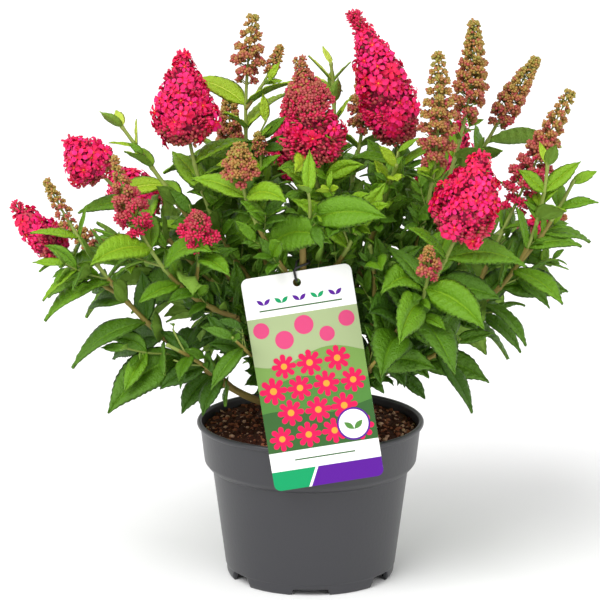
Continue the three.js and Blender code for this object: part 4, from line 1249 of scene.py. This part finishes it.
def crumb_part(seed):
    """A rough lump of 20 faces about 1 mm in radius."""
    golden = (1 + math.sqrt(5)) / 2
    corners = np.array([(0, a, b * golden) for a in (-1, 1) for b in (-1, 1)]) / math.hypot(1, golden)
    points = np.concatenate([np.roll(corners, shift, axis=1) for shift in range(3)])
    near = norm(points[:, None] - points, axis=2) < 1.2
    faces = []
    for i, j, k in combinations(range(len(points)), 3):
        if near[i, j] and near[j, k] and near[i, k]:
            faces.append((i, j, k, -1) if np.linalg.det(points[[i, j, k]]) > 0 else (i, k, j, -1))
    rough = np.random.default_rng(seed).uniform(0.7, 1.25, (len(points), 1))
    return Named(points=points * rough * (1, 0.75, 0.6), faces=np.array(faces), slots=np.full(len(faces), -1))


def scatter_crumbs(heap, reach):
    random, count = np.random.default_rng(5), CRUMB.count
    across = reach * np.sqrt(random.uniform(0.03, 1, count))
    turn = random.uniform(0, 2 * math.pi, count)
    sizes = lerp(*CRUMB.sizes, random.random(count) ** 2.2)
    x, y = across * np.cos(turn), across * np.sin(turn)
    spots = np.column_stack([x, y, mix_height(x, y) + sizes * CRUMB.sunk * 0.3])
    facings = unit(random.normal(0, 0.5, (count, 3)) + UP)
    kind = random.random(count)
    slots = np.where(kind < CRUMB.pale, 2, np.where(kind < CRUMB.tan, 1, 0))
    spins = random.uniform(0, FULL_TURN, count)
    for i in range(CRUMB.parts):
        mine = np.arange(count) % CRUMB.parts == i
        strew(heap, crumb_part(i), spots[mine], facings[mine], spins[mine], sizes[mine], slots[mine])


# ---- label and tie ----
CARD, WHITE, SKY, HILL, MEADOW, DEEP, BLOOM, BLUSH, YOLK, VIOLET, JADE = range(11)
LABEL_COLOURS = "F4F4F2 F4F4F4 A3B284 769A4C 4F8238 35602C D80F52 D24678 E09C34 560C90 04985E"
PRINT = 0.05  # height of each printed layer
CARD_TOP, CARD_FOOT = 8, -149
PICTURE = Named(top=-22, bottom=-121, horizon=-54)
HILLS = ((0, 5, 0.4, HILL), (18, 4, 2.2, MEADOW), (40, 3, 4, DEEP))  # drop, wave, phase and colour
DAISY = Named(rows=4, columns=4, apart=(19.4, 17.4), sizes=(9, 10.4), stray=0.5)
BOKEH = Named(count=5, sizes=(5.5, 8))
FOOTER = Named(top=-135, slant=7, split=-8, gap=2)
BADGE = Named(middle=(24, -108), radius=12, rim=1.3)
SPRIGS = Named(count=5, apart=13, height=-13, size=6.5)
LINES = ((-17, 30), (-128, 22))  # height and half length


def quarter(middle, first, radius):
    """The points of a quarter circle from an angle in degrees."""
    turn = np.radians(first + np.linspace(0, 90, 7))
    return middle + radius * np.stack([np.cos(turn), np.sin(turn)], axis=1)


def outline_box(left, bottom, right, top, corner=0.0):
    """A rectangle's outline, with round corners where a corner radius is given."""
    if not corner:
        return np.array([(left, bottom), (right, bottom), (right, top), (left, top)])
    low, high = bottom + corner, top - corner
    middles = ((right - corner, low), (right - corner, high), (left + corner, high), (left + corner, low))
    return np.concatenate([quarter(middle, 90 * k - 90, corner) for k, middle in enumerate(middles)])


def printed(heap, outline, layer, slot, holes=()):
    high = LABEL.thickness / 2 + PRINT * layer
    prism(heap, outline, high - PRINT, high, LABEL_AXES, np.array(LABEL.hole), holes, slot)


def hill_outline(height, wave, phase):
    """Everything in the picture below a wavy line."""
    half = LABEL.width / 2
    x = np.linspace(half, -half, 25)
    ridge = np.column_stack([x, height + wave * np.sin(x / 13 + phase)])
    return np.concatenate([[(-half, PICTURE.bottom), (half, PICTURE.bottom)], ridge])


def petals_outline(middle, radius, petals=8):
    """A daisy's outline."""
    count = petals * 6
    reach = radius * (0.5 + 0.5 * np.sqrt(np.abs(np.cos(petals / 2 * turns(count)))))
    return middle + reach[:, None] * circle(count)


def sprig(heap, x, y, size, layer, slot):
    """A pair of small leaves."""
    share = np.linspace(0, 1, 9)[:, None]
    for lean in (-0.75, 0.75):
        edge = share * size * np.array([lean, 0.66])
        wide = 0.22 * size * np.sin(math.pi * share) * np.array([-0.66, lean])
        leaf = np.concatenate([edge + wide, (edge - wide)[-2:0:-1]])
        printed(heap, leaf[::-1] + (x, y), layer, slot)


def print_picture(heap, half):
    """Hills in three greens under blurred pink discs, with rows of pink daisies."""
    random = np.random.default_rng(11)
    printed(heap, outline_box(-half, PICTURE.bottom, half, PICTURE.top), 1, SKY)
    for k in range(BOKEH.count):
        size = random.uniform(*BOKEH.sizes)
        middle = (lerp(9 - half, half - 9, k / (BOKEH.count - 1)), PICTURE.top - 9 - 9 * (k % 2))
        printed(heap, ring_of(size, middle, 28), 2, BLUSH)
    for layer, (drop, wave, phase, slot) in enumerate(HILLS):
        printed(heap, hill_outline(PICTURE.horizon - drop, wave, phase), 3 + layer, slot)
    for row in range(DAISY.rows):
        count = DAISY.columns - row % 2
        for column in range(count):
            x = (column - (count - 1) / 2) * DAISY.apart[0] + random.uniform(-1, 1) * DAISY.stray
            y = PICTURE.bottom + 10 + row * DAISY.apart[1] + random.uniform(-1, 1) * DAISY.stray
            size = random.uniform(*DAISY.sizes)
            printed(heap, petals_outline((x, y), size), 6, BLOOM)
            printed(heap, ring_of(size * 0.25, (x, y), 12), 7, YOLK)


def print_footer(heap, half):
    """Two colour fields side by side along the card's lower edge, with a slanted gap between them."""
    c, top, foot, split = LABEL.corner, FOOTER.top, CARD_FOOT, FOOTER.split
    start = split + FOOTER.gap
    left = [(-half, top), *quarter((c - half, foot + c), 180, c), (split - FOOTER.slant, foot), (split, top)]
    right = [(start, top), (start - FOOTER.slant, foot), *quarter((half - c, foot + c), 270, c), (half, top)]
    printed(heap, left, 1, JADE)
    printed(heap, right, 1, VIOLET)


def label_piece():
    """A card with a generic pattern: a picture of hills and daisies between white bands, a badge with a
    sprig, and a footer of two colours."""
    heap = Heap()
    half, thick = LABEL.width / 2, LABEL.thickness / 2
    whole = outline_box(-half, CARD_FOOT, half, CARD_TOP, LABEL.corner)
    hole = ring_of(LABEL.hole_radius, count=32)
    prism(heap, whole, -thick, thick, LABEL_AXES, np.array(LABEL.hole), [hole], CARD)
    print_picture(heap, half)
    print_footer(heap, half)
    for k in range(SPRIGS.count):
        x = (k - (SPRIGS.count - 1) / 2) * SPRIGS.apart
        sprig(heap, x, SPRIGS.height, SPRIGS.size, 1, JADE if k % 2 else VIOLET)
    for middle, reach in LINES:
        printed(heap, outline_box(-reach, middle - 0.5, reach, middle + 0.5), 1, DEEP)
    printed(heap, ring_of(BADGE.radius, BADGE.middle, 40), 8, VIOLET)
    printed(heap, ring_of(BADGE.radius - BADGE.rim, BADGE.middle, 40), 9, WHITE)
    sprig(heap, BADGE.middle[0], BADGE.middle[1] - 4, 9, 10, MEADOW)
    return heap


def tie_spots():
    """What the tie passes through: the label's hole, and round the bough."""
    reach = BOUGH.tip + TIE.radius + 1.2
    bough = np.array(TIE.round_bough) * (reach, reach, 1) + TIE.middle
    label = LABEL.hole + np.array(TIE.through_hole) @ LABEL_AXES.T
    return np.concatenate([label[1:], bough, label[:1]])


def tie_piece():
    """A round cord along a smooth closed loop through its spots."""
    heap, spots, steps, sides = Heap(), tie_spots(), 12, 12
    t = (np.arange(steps) / steps)[:, None]
    loop = np.concatenate([
        ((2 * b) + (c - a) * t + (2 * a - 5 * b + 4 * c - d) * t**2 + (3 * b - a - 3 * c + d) * t**3) / 2
        for a, b, c, d in zip(*(np.roll(spots, shift, 0) for shift in (1, 0, -1, -2)))
    ])
    along = unit(np.roll(loop, -1, 0) - np.roll(loop, 1, 0))
    wide = [square_to(LABEL_AXES[:, 0], along[0])]
    for way in along[1:]:
        wide.append(square_to(wide[-1], way))
    rows = loop[:, None] + ring_ways(along, np.array(wide), sides) * TIE.radius
    faces = grid_faces(len(loop) + 1, sides, around=True)
    last, shift = len(loop) * sides, np.argmin(norm(rows[0] - rows[-1][0], axis=1))
    heap.add(rows, np.where(faces < last, faces, (faces - last + shift) % sides), 0)
    return heap


# ---- materials ----
def linear(code):
    """A colour such as "E8155F" as linear red, green, blue and alpha."""
    values = [int(code[i:i + 2], 16) / 255 for i in (0, 2, 4)]
    return [v / 12.92 if v <= 0.04045 else ((v + 0.055) / 1.055) ** 2.4 for v in values] + [1]


def paint(name, code, roughness=0.5, specular=0.5, bump=None):
    """A plain material, with a fine noise bump of (size in millimetres, strength) where one is asked for."""
    material = bpy.data.materials.new(name)
    material.use_nodes = True
    nodes, links = material.node_tree.nodes, material.node_tree.links
    shader = nodes["Principled BSDF"]
    shader.inputs["Base Color"].default_value = linear(code)
    shader.inputs["Roughness"].default_value = roughness
    shader.inputs["Specular IOR Level"].default_value = specular
    if bump:
        size, strength = bump
        place, noise, relief = (nodes.new(f"ShaderNode{kind}") for kind in ("TexCoord", "TexNoise", "Bump"))
        noise.inputs["Scale"].default_value = 1 / (size * MM)
        noise.inputs["Detail"].default_value = 3
        relief.inputs["Strength"].default_value = strength
        relief.inputs["Distance"].default_value = size * MM
        links.new(place.outputs["Object"], noise.inputs["Vector"])
        links.new(noise.outputs["Fac"], relief.inputs["Height"])
        links.new(relief.outputs["Normal"], shader.inputs["Normal"])
    return material


def paints(name, codes, *look):
    """Numbered materials that look alike but for their colours."""
    return [paint(f"{name}_{i}", code, *look) for i, code in enumerate(codes.split())]


def all_paints():
    """The materials of each piece, in the order of its slots."""
    wood = paint("young_bark", "8A7740", 0.72, 0.3, (0.8, 0.5))
    return Named(
        leaves=[
            *paints("leaf_green", "3D660A 4F7B0A 64940C 7FAC13 9EC023 C2D64B", 0.48, 0.4, (1.5, 1.0)),
            paint("leaf_underside", "7DA23C", 0.65, 0.25, (1.3, 0.4)),
        ],
        twigs=[wood, paint("olive_stem", "8F803C", 0.6, 0.4), paint("green_stem", "8E9F4A", 0.55, 0.4)],
        blossom=[
            *paints("petal", "EE1D6A F2227A E5144F", 0.5, 0.3), paint("petal_throat", "E01038", 0.5, 0.3),
            paint("floret_eye", "F08A2C", 0.6, 0.3), paint("floret_tube", "C81C58", 0.55, 0.3),
        ],
        buds=[
            paint("bud_calyx", "8C7834", 0.6, 0.3),
            *paints("bud", "968E3C A88C42 AE7C42 AE604A B44A4C C62E4E DE1C58", 0.5, 0.4),
            # a darker crimson for the inside of an open head: painted shade between its florets
            paint("head_painted_shade", "7E1434", 0.7, 0.2),
        ],
        wood=[wood],
        pot=[paint("pot_plastic", "333337", 0.38, 0.5, (2.5, 0.05))],
        mix=[
            paint("mix_dark", "462418", 0.95, 0.2, (1.2, 0.6)), paint("mix_tan", "9A5C42", 0.9, 0.2),
            paint("mix_fleck", "C69C82", 0.9, 0.2),
        ],
        label=paints("label", LABEL_COLOURS, 0.35, 0.25),
        tie=[paint("tie_black", "101012", 0.45)],
    )


# ---- the whole ----
SIDES = {  # the masses that the pieces of each side take in
    "left": ("left_low", "left_mid", "left_high", "mid_left"),
    "middle": ("front", "mid", "mid_right", "right_front"),
    "right": ("right_low", "right_high", "back_right"),
    "rear": ("back", "back_left"),
}


def show(heap, name, materials, nodes, smooth=True):
    piece = heap.piece(name, materials, smooth)
    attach(piece, "root")
    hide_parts(*nodes)


def dress_masses(plants, paint_sets):
    """Leaves, stems, buds and florets: each kind in pieces of its own, one for each side of the bush."""
    for side, names in SIDES.items():
        leaves, stems, buds, florets = heaps = [Heap() for _ in range(4)]
        for plant in (plant for plant in plants if plant.mass.name in names):
            for blade in plant.blades:
                leaf_mesh(leaves, blade, leaf_tone(blade), lerp(0.97, 0.84, blade.age))
            for limb in plant.stems:
                stem_mesh(stems, limb)
            for shoot in plant.mass.shoots:
                if shoot.head_start < 1:
                    dress_head(head_of(shoot), shoot.keys, leaves, stems, florets, buds)
        nodes = [f"foliage_{name}" for name in names]
        for kind, heap in zip(("leaves", "twigs", "buds", "blossom"), heaps):
            if heap.count:
                show(heap, f"{kind}_{side}", getattr(paint_sets, kind), nodes)


def grow_plants(masses):
    rooms = [mass_balls(mass) for mass in masses]
    boughs = [balls_of(mass.curve.part(0, mass.end), 12, lambda t: BOUGH.root) for mass in masses]
    return [grow_mass(mass, rooms[:i] + rooms[i + 1:], boughs, i) for i, mass in enumerate(masses)]


def dress_hard_parts(masses, paint_sets):
    limbs = ["trunk", *(f"bough_{name}" for name, *_ in BOUGHS)]
    show(bark_piece(masses), "trunk_and_boughs", paint_sets.wood, limbs)
    show(pot_piece(), "nursery_pot", paint_sets.pot, ["pot"])
    show(mix_piece(), "mix_crumbs", paint_sets.mix, ["potting_mix"])
    show(label_piece(), "plant_label", paint_sets.label, ["label"], smooth=False)
    show(tie_piece(), "label_cord", paint_sets.tie, ["label_tie"])


# ---- view and light ----
VIEW = Named(target=(-7.8, 0, 209.8), distance=2500, elevation=13.5, lens=202.4, sensor=36)
SUNS = [
    # name, where it shines from, strength, angle in degrees
    ("key", (-0.5, -0.8, 1.0), 2.3, 40),
    ("fill", (0.9, -0.7, 0.35), 0.7, 60),
]
SKY_LIGHT = 0.74
FLOOR_REACH = 20000.0


def place(name, data, location, target=(0, 0, 0)):
    """A camera or light that looks from its location at the target."""
    thing = bpy.data.objects.new(name, data)
    thing.location = location
    thing.rotation_euler = (Vector(target) - thing.location).to_track_quat("-Z", "Y").to_euler()
    bpy.context.scene.collection.objects.link(thing)
    return thing


def add_camera():
    data = bpy.data.cameras.new("camera")
    data.sensor_width, data.lens = VIEW.sensor, VIEW.lens
    rise, target = math.radians(VIEW.elevation), Vector(VIEW.target) * MM
    location = target + Vector((0, -math.cos(rise), math.sin(rise))) * VIEW.distance * MM
    bpy.context.scene.camera = place("camera", data, location, target)


def add_lights():
    for name, location, strength, angle in SUNS:
        data = bpy.data.lights.new(name, "SUN")
        data.energy, data.angle = strength, math.radians(angle)
        place(name, data, location)
    world = bpy.data.worlds.new("sky")
    world.use_nodes = True
    background = world.node_tree.nodes["Background"].inputs
    background["Color"].default_value = (1, 1, 1, 1)
    background["Strength"].default_value = SKY_LIGHT
    bpy.context.scene.world = world


def add_floor():
    heap = Heap()
    corners = np.array([(-1, -1, 0), (1, -1, 0), (1, 1, 0), (-1, 1, 0)]) * FLOOR_REACH
    heap.add(corners, np.array([(0, 1, 2, 3)]), 0)
    heap.piece("floor", [paint("floor_white", "FAFAFA", 0.9, 0.1)], smooth=False)


masses = plan()
paint_sets = all_paints()
dress_masses(grow_plants(masses), paint_sets)
dress_hard_parts(masses, paint_sets)
add_floor()
add_lights()
add_camera()
bpy.context.scene.view_settings.view_transform = "Standard"
